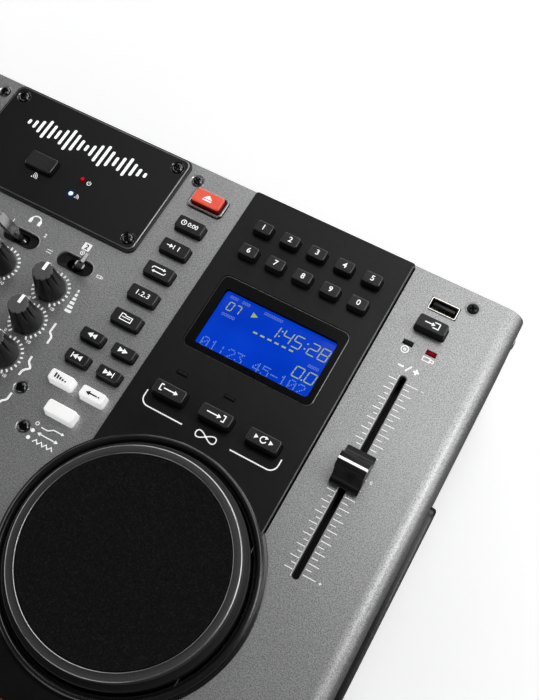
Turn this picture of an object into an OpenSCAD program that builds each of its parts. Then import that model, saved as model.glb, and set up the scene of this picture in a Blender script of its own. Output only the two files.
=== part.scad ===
// Dual disc player with a two-channel mixer between its decks.
// The origin is on the table under the middle of the whole console,
// +X to the operator's right, +Y to the back, +Z up. Millimetres.
// Plan positions are measured from the middle of the top panel.

/* [Console] */
// Width over the sheet-metal sides
body_w = 477; // [475:1:480]
// Depth of the top panel, front edge to back edge
body_d = 300; // [300:1:302]
// Height of the top surface above the table
top_z = 90; // [90:1:94]
// Height of the rubber feet
foot_h = 10; // [9:0.5:10]
// Sheet-metal thickness
sheet = 1.5; // [1.2:0.1:1.5]
// Outside radius of the folded long edges
bend_r = 8.5; // [8:0.5:11]
// How far the rear sockets reach past the back edge
rear_reach = 7; // [6:0.5:8]

/* [Decks] */
// Distance of a deck's centre line from the middle of the console
deck_x = 135.8; // [135:0.1:137]
// Width of a black deck panel
panel_w = 89; // [88:0.5:90]
// Thickness of a deck panel
panel_t = 1.2; // [1:0.1:1.4]
// Jog wheel centre, front to back
jog_y = -41.5; // [-43:0.5:-40]
// Jog wheel outside radius at its raised rim
jog_r = 50; // [49:0.5:50.5]
// Jog wheel outside radius at its lower step
skirt_r = 53; // [52:0.1:53.2]
// Outside radius of the raised ring round the jog wheel
ring_r = 58.6; // [58:0.2:60]
// Radius of the deck panel's opening round the jog wheel
ring_in = 54.2; // [54:0.1:54.6]
// Height of the jog rim above the top surface
jog_h = 12.6; // [11:0.2:14]
// Pitch of the number keys across the deck
num_pitch = 15; // [14:0.5:16]
// Pitch of the function keys, front to back
fn_pitch = 14.7; // [13.5:0.1:15]

/* [Mixer] */
// Distance of a channel's knobs from the middle
knob_x = 30; // [28:0.5:31]
// Position of the back knob row
knob_y = 53.6; // [52:0.2:55]
// Pitch of the knob rows
knob_pitch = 19.85; // [19:0.05:20]
// Knob height above the top surface
knob_h = 18.3; // [16:0.1:20]
// Knob radius at the skirt
knob_r = 7.5; // [7:0.1:8]
// Knob radius at the top
knob_top_r = 4.9; // [4.5:0.1:5.5]
// Lean of a toggle lever at either end of its swing, degrees
lever_lean = 26; // [15:1:28]

/* [Faders] */
// Distance of the pitch slots from the middle
pitch_x = 201.2; // [200:0.2:202]
// Middle of a pitch slot, front to back
pitch_y = 41; // [40:0.5:42]
// Travel of a pitch fader either way
pitch_travel = 50; // [40:1:50]
// Crossfader position, front to back
cross_y = -118; // [-120:1:-112]
// Travel of the crossfader either way
cross_travel = 22.5; // [20:0.5:24]
// Width of the fader slots
slot_w = 3.6; // [3.2:0.1:4]

/* [Disc drives] */
// Width of a disc tray
tray_w = 134; // [132:1:134]
// Radius of the disc recess
disc_r = 61; // [60.5:0.5:62]
// Disc centre with the tray shut
disc_y = -80; // [-81:0.5:-79]

/* [Side handles] */
// Length of a handle's flange
handle_l = 104; // [100:1:110]
// Height of a handle's flange
handle_h = 38; // [36:1:40]

/* [Hidden] */
$fn = 64;
T = top_z;
U = T - sheet;             // underside of the top panel
P = T + panel_t;           // top of a deck panel
HW = body_w / 2;
HD = body_d / 2;
Y0 = -rear_reach / 2;      // puts the whole console's middle on the origin
base_top = foot_h + sheet;
key_gap = 0.35;            // clearance round a key in its hole
key_drop = 3.2;            // flange depth under a panel

// rear sockets and front jacks
rca_x = [30, 58, 86, 114];
rca_z = [36, 58];
inlet = [-180, 44];
rocker = [-132, 44];
jack_x = 24;
jack_z = 56;

// handle cup
handle_z = 53;
cup_l = handle_l - 14;
cup_h = handle_h - 12;
cup_d = 18;

// right-hand deck, mirrored for the left: [x, y]
fn_keys = [for (i = [0:4]) [72.6, 115.2 - i * fn_pitch]];
search_keys = [[63.3, 41.1], [80.9, 41.1], [63.3, 28.3], [80.9, 28.3]];
source_key = [201.7, 122.1];
effect_keys = [[63.1, 15.6], [80.4, 15.6]];
mode_key = [71.8, 1.9];
eject_key = [72.7, 132.6];
usb_at = [202.3, 135];
source_lamps = [[195.3, 110.6], [207.2, 110.6]];
loop_dx = 24.7;
loop_y = 33.8;
loop_lamps = [[-25.6, 45.5], [0, 45.5]];
num_y = [130.7, 115.8];

// keys: [width, depth, height above their panel]
fn_key = [15.4, 7.7, 3.9];
search_key = [12.2, 6.2, 4.2];
source_cap = [15.4, 7.4, 5.6];
effect_key = [12.8, 6, 4.8];
mode_cap = [15.6, 6.8, 4.6];
eject_cap = [16.2, 8.2, 4.2];
num_key = [9.7, 6.6, 4.4];
loop_key = [16.5, 7, 5.4];
cue_at = [-20, -122];
play_at = [20, -122];
disp_y = 80;

// centre plate
plate = [109.6, 61.5];
plate_y = 118.75;
plate_t = 2;
wireless_at = [-14.2, 111];
plate_lamps = [[9.4, 113], [8.7, 103.1]];
plate_screws = [for (x = [-48.3, 48.3], y = [94.9, 142.6]) [x, y]];

// level meter lamps between the crossfader and the knobs
meter = [for (x = [-5, 5], i = [0:6]) [x, -40 - i * 7]];

lever_y = 70.6;
lever_len = 21;
top_screws = [for (s = [-1, 1], p = [[60.8, 141.5], [214.5, 141.5], [214.5, -141.5],
    [60.8, -141.5], [47.2, 3.9], [59.5, -11.4]]) [s * p[0], p[1]]];
tab_screws = [for (s = [-1, 1], x = [60.8, 214.5], y = [141.5, -141.5]) [s * x, y]];
side_screw_y = [-141, 141];
side_screw_z = T - 15;
seat_r = 3.85;             // dished seat of a panel screw at the surface
seat_in = 2.95;            // and at its bottom
seat_deep = 0.8;           // in the top panel
plate_deep = 1;            // in the centre plate

// ---------- shared shapes ----------

// everything is drawn from the middle of the top panel and set back onto the origin
module put() { translate([0, Y0, 0]) children(); }

// rounded rectangle, centred
module rr(w, d, r) {
    square([w - 2 * r, d], center = true);
    square([w, d - 2 * r], center = true);
    for (sx = [-1, 1], sy = [-1, 1])
        translate([sx * (w / 2 - r), sy * (d / 2 - r)]) circle(r);
}

// block given by its low corner and its high corner
module blk(a, b) { translate(a) cube([b[0] - a[0], b[1] - a[1], b[2] - a[2]]); }

// a key: cap through the panel, flange under it
module key(x, y, w, d, h, top, under, r = 1.2) {
    translate([x, y, under - key_drop]) linear_extrude(top - under + key_drop + h) rr(w, d, r);
    translate([x, y, under - key_drop]) linear_extrude(1.4) rr(w + 2, d + 2, r + 0.3);
}
module key_hole(x, y, w, d, r = 1.2) {
    translate([x, y]) rr(w + 2 * key_gap, d + 2 * key_gap, r + key_gap);
}

// ---------- shells ----------

// section of the folded panel, set in by i
module fold_outline(i, bottom) {
    r = bend_r;
    translate([-(HW - i), bottom]) square([2 * (HW - i), T - r - bottom]);
    translate([-(HW - r), bottom]) square([2 * (HW - r), T - i - bottom]);
    for (s = [-1, 1]) translate([s * (HW - r), T - r]) circle(r - i);
}

module top_cutouts() {
    for (s = [-1, 1]) {
        for (p = fn_keys) key_hole(s * p[0], p[1], fn_key[0], fn_key[1]);
        for (p = search_keys) key_hole(s * p[0], p[1], search_key[0], search_key[1]);
        for (p = effect_keys) key_hole(s * p[0], p[1], effect_key[0], effect_key[1]);
        key_hole(s * mode_key[0], mode_key[1], mode_cap[0], mode_cap[1]);
        key_hole(s * source_key[0], source_key[1], source_cap[0], source_cap[1]);
        key_hole(s * eject_key[0], eject_key[1], eject_cap[0], eject_cap[1]);
        translate([s * usb_at[0], usb_at[1]]) square([15, 7.6], center = true);
        for (p = source_lamps) translate([s * p[0], p[1]]) square([5.3, 2.8], center = true);
        translate([s * pitch_x, pitch_y]) rr(slot_w, 2 * pitch_travel + 7, slot_w / 2 - 0.01);
        // under the deck panel and the jog wheel
        translate([s * deck_x, 0]) square([80, body_d - 18], center = true);
        translate([s * deck_x, jog_y]) circle(ring_in + 1);
        for (i = [0:3]) translate([s * knob_x, knob_y - i * knob_pitch]) circle(3.6);
        translate([s * 32.4, lever_y]) rr(20.4, 8.6, 4.29);
    }
    for (i = [0:2]) translate([0, knob_y - i * knob_pitch]) circle(3.6);
    translate([0, lever_y]) rr(20.4, 8.6, 4.29);
    translate([0, cross_y]) rr(2 * cross_travel + 7, slot_w, slot_w / 2 - 0.01);
    translate([-4, 109]) square([44, 22], center = true);
    for (p = meter) translate(p) square([6.3, 2.8], center = true);
    for (p = top_screws) translate(p) circle(1.7);
    for (p = plate_screws) translate(p) circle(1.7);
}

module top_panel() color([0.62, 0.63, 0.65]) put() difference() {
    translate([0, HD, 0]) rotate([90, 0, 0]) linear_extrude(body_d)
        difference() { fold_outline(0, foot_h); fold_outline(sheet, foot_h - 5); }
    translate([0, 0, T - 6]) linear_extrude(12) top_cutouts();
    for (p = top_screws) translate([p[0], p[1], T - seat_deep])
        cylinder(r1 = seat_in, r2 = seat_r, h = seat_deep);
    for (s = [-1, 1]) {
        translate([s * HW, 0, handle_z]) cube([12, cup_l + 5, cup_h + 5], center = true);
        for (y = side_screw_y) translate([s * HW, y, side_screw_z]) rotate([0, 90, 0])
            cylinder(r = 1.4, h = 12, center = true);
    }
}

module base_pan() color([0.1, 0.1, 0.11]) put() difference() {
    w = HW - sheet - 0.3;
    union() {
        blk([-w, -HD + 2.5, foot_h], [w, HD - 2, base_top]);
        // front and rear walls, their top corners following the fold
        for (y = [-HD + 2.5 + sheet, HD - 2]) translate([0, y, 0]) rotate([90, 0, 0])
            linear_extrude(sheet) fold_outline(sheet + 0.3, foot_h);
        // folded lugs that take the panel screws
        for (s = [-1, 1], x = [60.8, 214.5]) {
            blk([s * x - 4, HD - 12, U - 0.3 - sheet], [s * x + 4, HD - 2, U - 0.3]);
            blk([s * x - 4, -HD + 2.5, U - 0.3 - sheet], [s * x + 4, -HD + 12, U - 0.3]);
        }
        // side lugs
        for (s = [-1, 1], y = side_screw_y)
            translate([s * (w - sheet / 2), y, (foot_h + side_screw_z + 6) / 2])
                cube([sheet, 12, side_screw_z + 6 - foot_h], center = true);
    }
    for (p = tab_screws) translate([p[0], p[1], U - 4]) cylinder(r = 1.6, h = 8);
    for (s = [-1, 1]) {
        for (y = side_screw_y) translate([s * w, y, side_screw_z]) rotate([0, 90, 0])
            cylinder(r = 1.3, h = 12, center = true);
        // disc slots
        blk([s * deck_x - tray_w / 2 - 2, -HD, 32], [s * deck_x + tray_w / 2 + 2, -HD + 6, 45]);
        // jack holes
        translate([s * jack_x, -HD + 6, jack_z]) rotate([90, 0, 0]) cylinder(r = 5.8, h = 8);
    }
    for (x = rca_x, z = rca_z) translate([x, HD + 1, z]) rotate([90, 0, 0])
        cylinder(r = 4.8, h = 8);
    blk([inlet[0] - 14, HD - 6, inlet[1] - 10.6], [inlet[0] + 14, HD + 1, inlet[1] + 10.6]);
    blk([rocker[0] - 9, HD - 6, rocker[1] - 13], [rocker[0] + 9, HD + 1, rocker[1] + 13]);
    // cooling slots
    for (i = [0:9]) blk([150 + i * 8, HD - 6, 30], [153.5 + i * 8, HD + 1, 62]);
}

module deck_panel(s) color([0.05, 0.05, 0.055]) put() difference() {
    union() {
        translate([s * deck_x, 0, T]) linear_extrude(panel_t) rr(panel_w, body_d, 1.5);
        // ledge and rounded bead round the jog wheel
        translate([s * deck_x, jog_y, T]) rotate_extrude() {
            translate([ring_in, 0]) square([ring_r - ring_in, panel_t]);
            translate([ring_r - 3.4, 0]) square([3.4, 2.3]);
            translate([ring_r - 1.7, 2.3]) circle(1.7);
        }
    }
    translate([s * deck_x, jog_y, T - 1]) cylinder(r = ring_in, h = 8);
    translate([s * deck_x, 0, T - 1]) linear_extrude(4) {
        for (i = [-2:2], y = num_y) key_hole(i * num_pitch + 0.2, y, num_key[0], num_key[1]);
        for (i = [-1:1]) key_hole(i * loop_dx, loop_y, loop_key[0], loop_key[1]);
        for (p = loop_lamps) translate([s * p[0], p[1]]) square([5.8, 2.1], center = true);
        translate([0, disp_y]) rr(70, 43, 4);
        key_hole(cue_at[0], cue_at[1], 30, 18, 3);
        key_hole(play_at[0], play_at[1], 30, 18, 3);
    }
}
module deck_panel_left() deck_panel(-1);
module deck_panel_right() deck_panel(1);

module centre_plate() color([0.05, 0.05, 0.055]) put() translate([0, 0, T]) difference() {
    translate([0, plate_y, 0]) linear_extrude(plate_t) rr(plate[0], plate[1], 4.5);
    translate([0, 0, -1]) linear_extrude(plate_t + 2) {
        key_hole(wireless_at[0], wireless_at[1], 16, 9);
        for (p = plate_lamps) translate(p) circle(1.65);
        for (p = plate_screws) translate(p) circle(1.7);
    }
    for (p = plate_screws) translate([p[0], p[1], plate_t - plate_deep])
        cylinder(r1 = seat_in, r2 = seat_r, h = plate_deep);
}

module side_handles() color([0.06, 0.06, 0.065]) put() for (s = [-1, 1])
    translate([s * HW, 0, handle_z]) mirror([s < 0 ? 1 : 0, 0, 0]) difference() {
        union() {
            translate([0.02, 0, 0]) rotate([90, 0, 90]) linear_extrude(3.2) rr(handle_l, handle_h, 8);
            translate([-cup_d - 2, 0, 0]) rotate([90, 0, 90]) linear_extrude(cup_d + 3)
                rr(cup_l + 4, cup_h + 4, 6);
        }
        translate([-cup_d, 0, 0]) rotate([90, 0, 90]) linear_extrude(cup_d + 6) rr(cup_l, cup_h, 5);
    }

module feet() color([0.04, 0.04, 0.04]) put() for (sx = [-1, 1], sy = [-1, 1])
    translate([sx * 205, sy * 118, 0]) rotate_extrude() polygon([[2.2, foot_h], [2.2, 5], [5, 5],
        [5, 0], [10, 0], [11, 1], [12, foot_h]]);

module pan_screw(r, len, shank = 1.5, h = 2) {
    rotate_extrude() polygon([[0, -len], [shank, -len], [shank, 0], [r, 0], [r, 0.3 * h],
        [r * 0.85, 0.65 * h], [r * 0.5, 0.9 * h], [0, h]]);
}
module screws() color([0.03, 0.03, 0.03]) put() {
    for (p = top_screws) translate([p[0], p[1], T - seat_deep]) pan_screw(2.85, 5.2, 1.5, 1.7);
    for (p = plate_screws) translate([p[0], p[1], T + plate_t - plate_deep])
        pan_screw(2.85, 7, 1.5, 1.7);
    for (s = [-1, 1], y = side_screw_y) translate([s * HW, y, side_screw_z])
        rotate([0, s * 90, 0]) pan_screw(2.4, 6, 1.2, 0.7);
    for (sx = [-1, 1], sy = [-1, 1]) translate([sx * 205, sy * 118, 5]) rotate([180, 0, 0])
        pan_screw(3.6, 4.5, 1.8);
}

// ---------- displays, lamps and sockets ----------

module display_windows() color([0.02, 0.02, 0.03, 0.6]) put() for (s = [-1, 1])
    translate([s * deck_x, disp_y, 0]) {
        translate([0, 0, T - 1.5]) linear_extrude(1.5) rr(74, 47, 3);
        translate([0, 0, T - 1.5]) linear_extrude(panel_t + 1.3) rr(69.6, 42.6, 3.8);
    }

module lcd_modules() color([0.05, 0.2, 0.85]) put() for (s = [-1, 1])
    translate([s * deck_x + 0.45, disp_y - 1.5, 0]) {
        translate([0, 0, T - 3.8]) linear_extrude(2) square([64, 35], center = true);
        translate([0, 0, T - 6.8]) linear_extrude(3.2) square([70, 42], center = true);
    }

module indicator_lamps() color([0.8, 0.1, 0.08]) put() {
    for (s = [-1, 1]) {
        for (p = source_lamps) translate([s * p[0], p[1], T - 5]) linear_extrude(5.4)
            square([5, 2.5], center = true);
        for (p = loop_lamps) translate([s * (deck_x + p[0]), p[1], T - 4]) linear_extrude(panel_t + 4.3)
            square([5.5, 1.8], center = true);
    }
    for (p = plate_lamps) translate([p[0], p[1], T - 4]) {
        cylinder(r = 1.5, h = plate_t + 4);
        translate([0, 0, plate_t + 4]) cylinder(r1 = 1.5, r2 = 0.8, h = 0.9);
    }
    for (p = meter) translate([p[0], p[1], T - 5]) linear_extrude(5.4) square([6, 2.5], center = true);
}

module usb_sockets() color([0.75, 0.75, 0.77]) put() for (s = [-1, 1])
    translate([s * usb_at[0], usb_at[1], 0]) difference() {
        blk([-7.2, -3.5, T - 15], [7.2, 3.5, T + 0.5]);
        blk([-6.4, -2.7, T - 13], [6.4, 2.7, T + 2]);
    }

module rca(x, z) translate([x, HD - 2, z]) rotate([-90, 0, 0]) difference() {
    union() {
        translate([0, 0, -sheet - 10]) linear_extrude(9.9) square([13, 13], center = true);
        translate([0, 0, -sheet - 1]) cylinder(r = 4.5, h = sheet + 2);
        cylinder(r = 6, h = 1.2);
        cylinder(r = 4.15, h = 2 + rear_reach);
    }
    translate([0, 0, -4]) cylinder(r = 1.6, h = 20);
}
module jack(x) translate([x, -HD + 2.5, jack_z]) rotate([90, 0, 0]) difference() {
    union() {
        translate([0, 0, -sheet - 34]) linear_extrude(33.9) square([16, 16], center = true);
        translate([0, 0, -sheet - 1]) cylinder(r = 5.5, h = sheet + 3);
        cylinder(r = 7.6, h = 2);
    }
    translate([0, 0, -31]) cylinder(r = 3.2, h = 40);
}
module panel_sockets() color([0.12, 0.12, 0.13]) put() {
    for (x = rca_x, z = rca_z) rca(x, z);
    for (s = [-1, 1]) jack(s * jack_x);
    // mains inlet
    translate([inlet[0], HD - 2, inlet[1]]) difference() {
        union() {
            translate([0, 2.5, 0]) rotate([90, 0, 0]) linear_extrude(2.5) rr(50, 24, 4);
            blk([-13.8, -20, -10.4], [13.8, 1, 10.4]);
        }
        blk([-12, -17.5, -8.2], [12, 6, 8.2]);
    }
    // frame and body of the power switch
    translate([rocker[0], HD - 2, rocker[1]]) difference() {
        union() {
            translate([0, 2, 0]) rotate([90, 0, 0]) linear_extrude(2) rr(21, 29, 2);
            blk([-8.8, -20, -12.8], [8.8, 1, 12.8]);
        }
        blk([-7.4, -14, -11.6], [7.4, 6, 11.6]);
    }
}

// ---------- inside ----------

module jog_axles() color([0.7, 0.7, 0.72]) put() for (s = [-1, 1])
    translate([s * deck_x, jog_y, 0]) {
        blk([-80, -20, 56], [80, 20, 58]);
        for (m = [-1, 1]) {
            translate([m * 79, 0, (base_top + 58) / 2]) cube([2, 40, 58 - base_top], center = true);
            translate([m * 75.5, 0, base_top + 1]) cube([7, 40, 2], center = true);
        }
        translate([0, 0, 57]) cylinder(r = 8, h = T - 5.3 - 57);
        translate([0, 0, 57]) cylinder(r = 4, h = T + 7.4 - 57);
    }

module disc_drives() color([0.25, 0.25, 0.27]) put() for (s = [-1, 1])
    translate([s * deck_x, 0, 0]) {
        w = tray_w / 2 + 0.6;
        blk([-w - 2.4, -145, 16], [w + 2.4, 25, 18]);
        blk([-w - 2.4, 23, 16], [w + 2.4, 25, 50]);
        for (m = [-1, 1]) {
            translate([m * (w + 1.2), -60, 33]) cube([2.4, 170, 34], center = true);
            translate([m * (w - 1.5), -60, 32.3]) cube([5, 170, 2.6], center = true);
            translate([m * (w - 1.5), -60, 44.7]) cube([5, 170, 2], center = true);
            for (y = [-135, 15]) translate([m * 58, y, (base_top + 17) / 2])
                cube([9, 9, 17 - base_top], center = true);
            translate([m * 16, -4, 28]) rotate([90, 0, 0]) cylinder(r = 1.5, h = 93);
        }
        blk([-22, -99, 17], [22, -97, 32]);
        blk([-22, -4, 17], [22, -2, 32]);
        translate([0, disc_y, 17]) difference() {
            cylinder(r = 13, h = 15);
            translate([0, 0, 5]) cylinder(r = 1.55, h = 12);
        }
    }

module disc_spindle(s) color([0.15, 0.15, 0.16]) put() translate([s * deck_x, disc_y, 0])
    rotate_extrude() polygon([[0, 24], [1.5, 24], [1.5, 33], [15, 33], [15, 35], [7.4, 35],
        [7.4, 36.4], [6, 37.4], [0, 37.4]]);
module disc_spindle_left() disc_spindle(-1);
module disc_spindle_right() disc_spindle(1);

module optical_pickup(s) color([0.3, 0.3, 0.32]) put() translate([s * deck_x, 0, 0]) {
    difference() {
        blk([-20, -64, 23.5], [20, -42, 32.4]);
        for (m = [-1, 1]) translate([m * 16, -30, 28]) rotate([90, 0, 0]) cylinder(r = 1.56, h = 50);
    }
    translate([0, -55, 32.4]) cylinder(r = 4, h = 0.9);
    translate([0, -55, 33.3]) cylinder(r = 2.5, h = 1);
}
module optical_pickup_left() optical_pickup(-1);
module optical_pickup_right() optical_pickup(1);

module disc_tray(s) color([0.07, 0.07, 0.075]) put() translate([s * deck_x, 0, 0]) difference() {
    union() {
        blk([-tray_w / 2, -HD + 1.5, 34], [tray_w / 2, -8, 43]);
        translate([0, -HD + 2.1, 38.5]) rotate([90, 0, 0]) linear_extrude(2.1) rr(144, 18, 3);
    }
    translate([0, disc_y, 37.8]) cylinder(r = disc_r, h = 8);
    translate([0, disc_y, 36.8]) cylinder(r = 40.6, h = 8);
    translate([0, disc_y, 30]) cylinder(r = 18, h = 20);
    blk([-18, disc_y, 30], [18, 0, 50]);
}
module disc_tray_left() disc_tray(-1);
module disc_tray_right() disc_tray(1);

module deck_board(s) {
    // under the deck's keys and display, with an arm under the search and effect keys
    translate([0, 0, T - 11]) linear_extrude(1.6) polygon([[s * 58, -6], [s * 90, -6], [s * 90, 22],
        [s * 174, 22], [s * 174, 139], [s * 58, 139]]);
    // under the source key and its lamps
    translate([0, 0, T - 11]) linear_extrude(1.6)
        translate([s * 201.2, 116]) square([24, 22], center = true);
    // under the transport buttons
    translate([0, 0, T - 11]) linear_extrude(1.6)
        translate([s * deck_x, cue_at[1]]) square([78, 30], center = true);
}
module circuit_boards() color([0.05, 0.3, 0.15]) put() {
    for (s = [-1, 1]) deck_board(s);
    // mixer board and crossfader board
    blk([-44, -18, T - 15], [44, 80, T - 13.4]);
    blk([-20, -92, T - 11], [20, -34, T - 9.4]);
    blk([-26, 98, T - 11], [18, 122, T - 9.4]);
    // main board
    blk([-50, -96, 20], [50, 92, 21.6]);
    for (x = [-40, 40], y = [-86, 82]) translate([x, y, base_top]) cylinder(r = 3.5, h = 20 - base_top);
    blk([-14, -14, 21.6], [14, 14, 24.4]);
    // power supply board, transformer and reservoir capacitors
    blk([-210, 50, 20], [-110, 116, 21.6]);
    for (x = [-204, -116], y = [56, 110]) translate([x, y, base_top]) cylinder(r = 3.5, h = 20 - base_top);
    blk([-190, 62, 21.6], [-150, 98, 54]);
    for (y = [66, 92]) translate([-130, y, 21.6]) cylinder(r = 9, h = 30);
}

module rotary_pot(x, y) translate([x, y, 0]) difference() {
    union() {
        blk([-5, -5.5, T - 13.4], [5, 5.5, T - 5.4]);
        translate([0, 0, T - 6]) cylinder(r = 4.5, h = 6 - sheet - 0.1);
    }
    translate([0, 0, T - 12]) cylinder(r = 3.05, h = 14);
}
module fader_track(len, travel) difference() {
    translate([0, 0, T - 12.5]) linear_extrude(8.5) square([9, len], center = true);
    translate([0, 0, T - 10.5]) linear_extrude(9) square([3, 2 * travel + 7], center = true);
}
module potentiometers() color([0.5, 0.5, 0.52]) put() {
    for (s = [-1, 1]) {
        for (i = [0:3]) rotary_pot(s * knob_x, knob_y - i * knob_pitch);
        translate([s * pitch_x, pitch_y, 0]) fader_track(126, pitch_travel);
        translate([s * 32.4, lever_y, T - 13.4]) translate([-7, -5, 0]) cube([14, 10, 4.6]);
    }
    for (i = [0:2]) rotary_pot(0, knob_y - i * knob_pitch);
    translate([0, lever_y, T - 13.4]) translate([-7, -5, 0]) cube([14, 10, 4.6]);
    translate([0, cross_y, 0]) rotate([0, 0, 90]) fader_track(70, cross_travel);
}

// ---------- jog wheels ----------

module jog_wheel(s) color([0.42, 0.42, 0.44]) put() translate([s * deck_x, jog_y, T])
    rotate_extrude() {
        polygon([[0, 7.8], [4.05, 7.8], [4.05, -5], [9, -5], [9, 7.6], [46.4, 7.6],
            [46.4, -4], [skirt_r, -4], [skirt_r, 6.2], [skirt_r - 0.4, 6.6], [jog_r, 6.6],
            [jog_r, jog_h - 0.6], [jog_r - 0.6, jog_h], [46, jog_h], [46, jog_h - 1.2],
            [0, jog_h - 1.2]]);
        translate([jog_r - 0.6, jog_h - 0.6]) circle(0.6);
    }
module jog_wheel_left() jog_wheel(-1);
module jog_wheel_right() jog_wheel(1);

module jog_pad(s) color([0.03, 0.03, 0.03]) put() translate([s * deck_x, jog_y, T + jog_h - 1.2])
    cylinder(r = 45.8, h = 1);
module jog_pad_left() jog_pad(-1);
module jog_pad_right() jog_pad(1);

// ---------- faders, knobs and levers ----------

module fader_cap() {
    translate([-7.1, 0, 0.6]) rotate([90, 0, 90]) linear_extrude(14.2) polygon([[-9.8, 0.4], [-9.4, 0], [10.5, 0],
        [10.5, 2.4], [9.4, 3.4], [8.2, 4], [4.4, 10], [3.6, 12.8], [3, 13.4], [-2.8, 13.4],
        [-3.6, 12.6], [-4.4, 9.8], [-6, 7], [-7.8, 4.6], [-9.8, 2.8]]);
    blk([-0.9, -2.8, -9], [0.9, 2.8, 1]);
}
module pitch_fader(s) color([0.04, 0.04, 0.04]) put() translate([s * pitch_x, pitch_y, T]) fader_cap();
module pitch_fader_left() pitch_fader(-1);
module pitch_fader_right() pitch_fader(1);
module crossfader() color([0.04, 0.04, 0.04]) put() translate([0, cross_y, T])
    rotate([0, 0, 90]) fader_cap();

// a knob with its shaft: tapered grip on a skirt, pointer rib towards the back
module knob(x, i) color([0.05, 0.05, 0.05]) put() translate([x, knob_y - i * knob_pitch, T]) {
    translate([0, 0, 0.6]) cylinder(r = knob_r, h = 3.4);
    translate([0, 0, 3]) cylinder(r1 = knob_r - 0.8, r2 = knob_top_r, h = knob_h - 3);
    translate([0, 0, -11]) cylinder(r = 3, h = 14);
}
module level_knob_left() knob(-knob_x, 0);
module treble_knob_left() knob(-knob_x, 1);
module mid_knob_left() knob(-knob_x, 2);
module bass_knob_left() knob(-knob_x, 3);
module level_knob_right() knob(knob_x, 0);
module treble_knob_right() knob(knob_x, 1);
module mid_knob_right() knob(knob_x, 2);
module bass_knob_right() knob(knob_x, 3);
module mic_knob() knob(0, 0);
module master_knob() knob(0, 1);
module phones_knob() knob(0, 2);

// a toggle lever: ball in the switch, flared round stem, flat paddle thinner to its tip
module lever(x, lean) color([0.05, 0.05, 0.05]) put() translate([x, lever_y, T - 5]) rotate([0, lean, 0]) {
    sphere(r = 3);
    cylinder(r1 = 2, r2 = 2.5, h = 9);
    translate([0, 0, 8]) rotate([90, 0, 0]) translate([0, 0, -2.75]) linear_extrude(5.5)
        polygon([[-1.9, 0], [1.9, 0], [1, lever_len - 8], [-1, lever_len - 8]]);
}
module cue_lever() lever(0, -lever_lean);
module selector_left() lever(-32.4, -lever_lean);
module selector_right() lever(32.4, lever_lean);

module power_switch() color([0.05, 0.05, 0.05]) put() translate([rocker[0], HD - 4, rocker[1]])
    rotate([10, 0, 0]) translate([-7, 0, 0]) rotate([90, 0, 90]) linear_extrude(14)
        polygon([[-5, -9], [4.4, -10.4], [2.6, 0], [4.4, 10.4], [-5, 9]]);

// ---------- keys ----------

module wireless_button() color([0.04, 0.04, 0.04]) put()
    key(wireless_at[0], wireless_at[1], 16, 9, 3, T + plate_t, U);

module eject_button(s) color([0.85, 0.16, 0.06]) put()
    key(s * eject_key[0], eject_key[1], eject_cap[0], eject_cap[1], eject_cap[2], T, U);
module eject_button_left() eject_button(-1);
module eject_button_right() eject_button(1);

module function_keys(s) color([0.05, 0.05, 0.05]) put() {
    for (p = fn_keys) key(s * p[0], p[1], fn_key[0], fn_key[1], fn_key[2], T, U);
    for (p = search_keys)
        key(s * p[0], p[1], search_key[0], search_key[1], search_key[2], T, U);
    key(s * source_key[0], source_key[1], source_cap[0], source_cap[1], source_cap[2], T, U);
}
module function_keys_left() function_keys(-1);
module function_keys_right() function_keys(1);

module effect_keys(s) color([0.92, 0.92, 0.9]) put() {
    for (p = effect_keys)
        key(s * p[0], p[1], effect_key[0], effect_key[1], effect_key[2], T, U);
    key(s * mode_key[0], mode_key[1], mode_cap[0], mode_cap[1], mode_cap[2], T, U);
}
module effect_keys_left() effect_keys(-1);
module effect_keys_right() effect_keys(1);

module number_keys(s) color([0.05, 0.05, 0.05]) put()
    for (i = [-2:2], y = num_y)
        key(s * deck_x + i * num_pitch + 0.2, y, num_key[0], num_key[1], num_key[2], P, T);
module number_keys_left() number_keys(-1);
module number_keys_right() number_keys(1);

module loop_keys(s) color([0.05, 0.05, 0.05]) put()
    for (i = [-1:1])
        key(s * deck_x + i * loop_dx, loop_y, loop_key[0], loop_key[1], loop_key[2], P, T);
module loop_keys_left() loop_keys(-1);
module loop_keys_right() loop_keys(1);

module play_button(s) color([0.1, 0.5, 0.15]) put()
    key(s * deck_x + play_at[0], play_at[1], 30, 18, 4, P, T, 3);
module play_button_left() play_button(-1);
module play_button_right() play_button(1);
module cue_button(s) color([0.8, 0.4, 0.05]) put()
    key(s * deck_x + cue_at[0], cue_at[1], 30, 18, 4, P, T, 3);
module cue_button_left() cue_button(-1);
module cue_button_right() cue_button(1);

top_panel();
base_pan();
deck_panel_left();
deck_panel_right();
centre_plate();
display_windows();
lcd_modules();
jog_axles();
disc_drives();
circuit_boards();
panel_sockets();
usb_sockets();
side_handles();
feet();
screws();
indicator_lamps();
potentiometers();
jog_wheel_left();
jog_wheel_right();
jog_pad_left();
jog_pad_right();
disc_tray_left();
disc_tray_right();
disc_spindle_left();
disc_spindle_right();
optical_pickup_left();
optical_pickup_right();
pitch_fader_left();
pitch_fader_right();
crossfader();
level_knob_left();
treble_knob_left();
mid_knob_left();
bass_knob_left();
level_knob_right();
treble_knob_right();
mid_knob_right();
bass_knob_right();
mic_knob();
master_knob();
phones_knob();
cue_lever();
selector_left();
selector_right();
power_switch();
wireless_button();
eject_button_left();
function_keys_left();
effect_keys_left();
number_keys_left();
loop_keys_left();
play_button_left();
cue_button_left();
eject_button_right();
function_keys_right();
effect_keys_right();
number_keys_right();
loop_keys_right();
play_button_right();
cue_button_right();
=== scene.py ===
import bpy, bmesh, math
from mathutils import Matrix, Vector
from mathutils.geometry import tessellate_polygon


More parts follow.
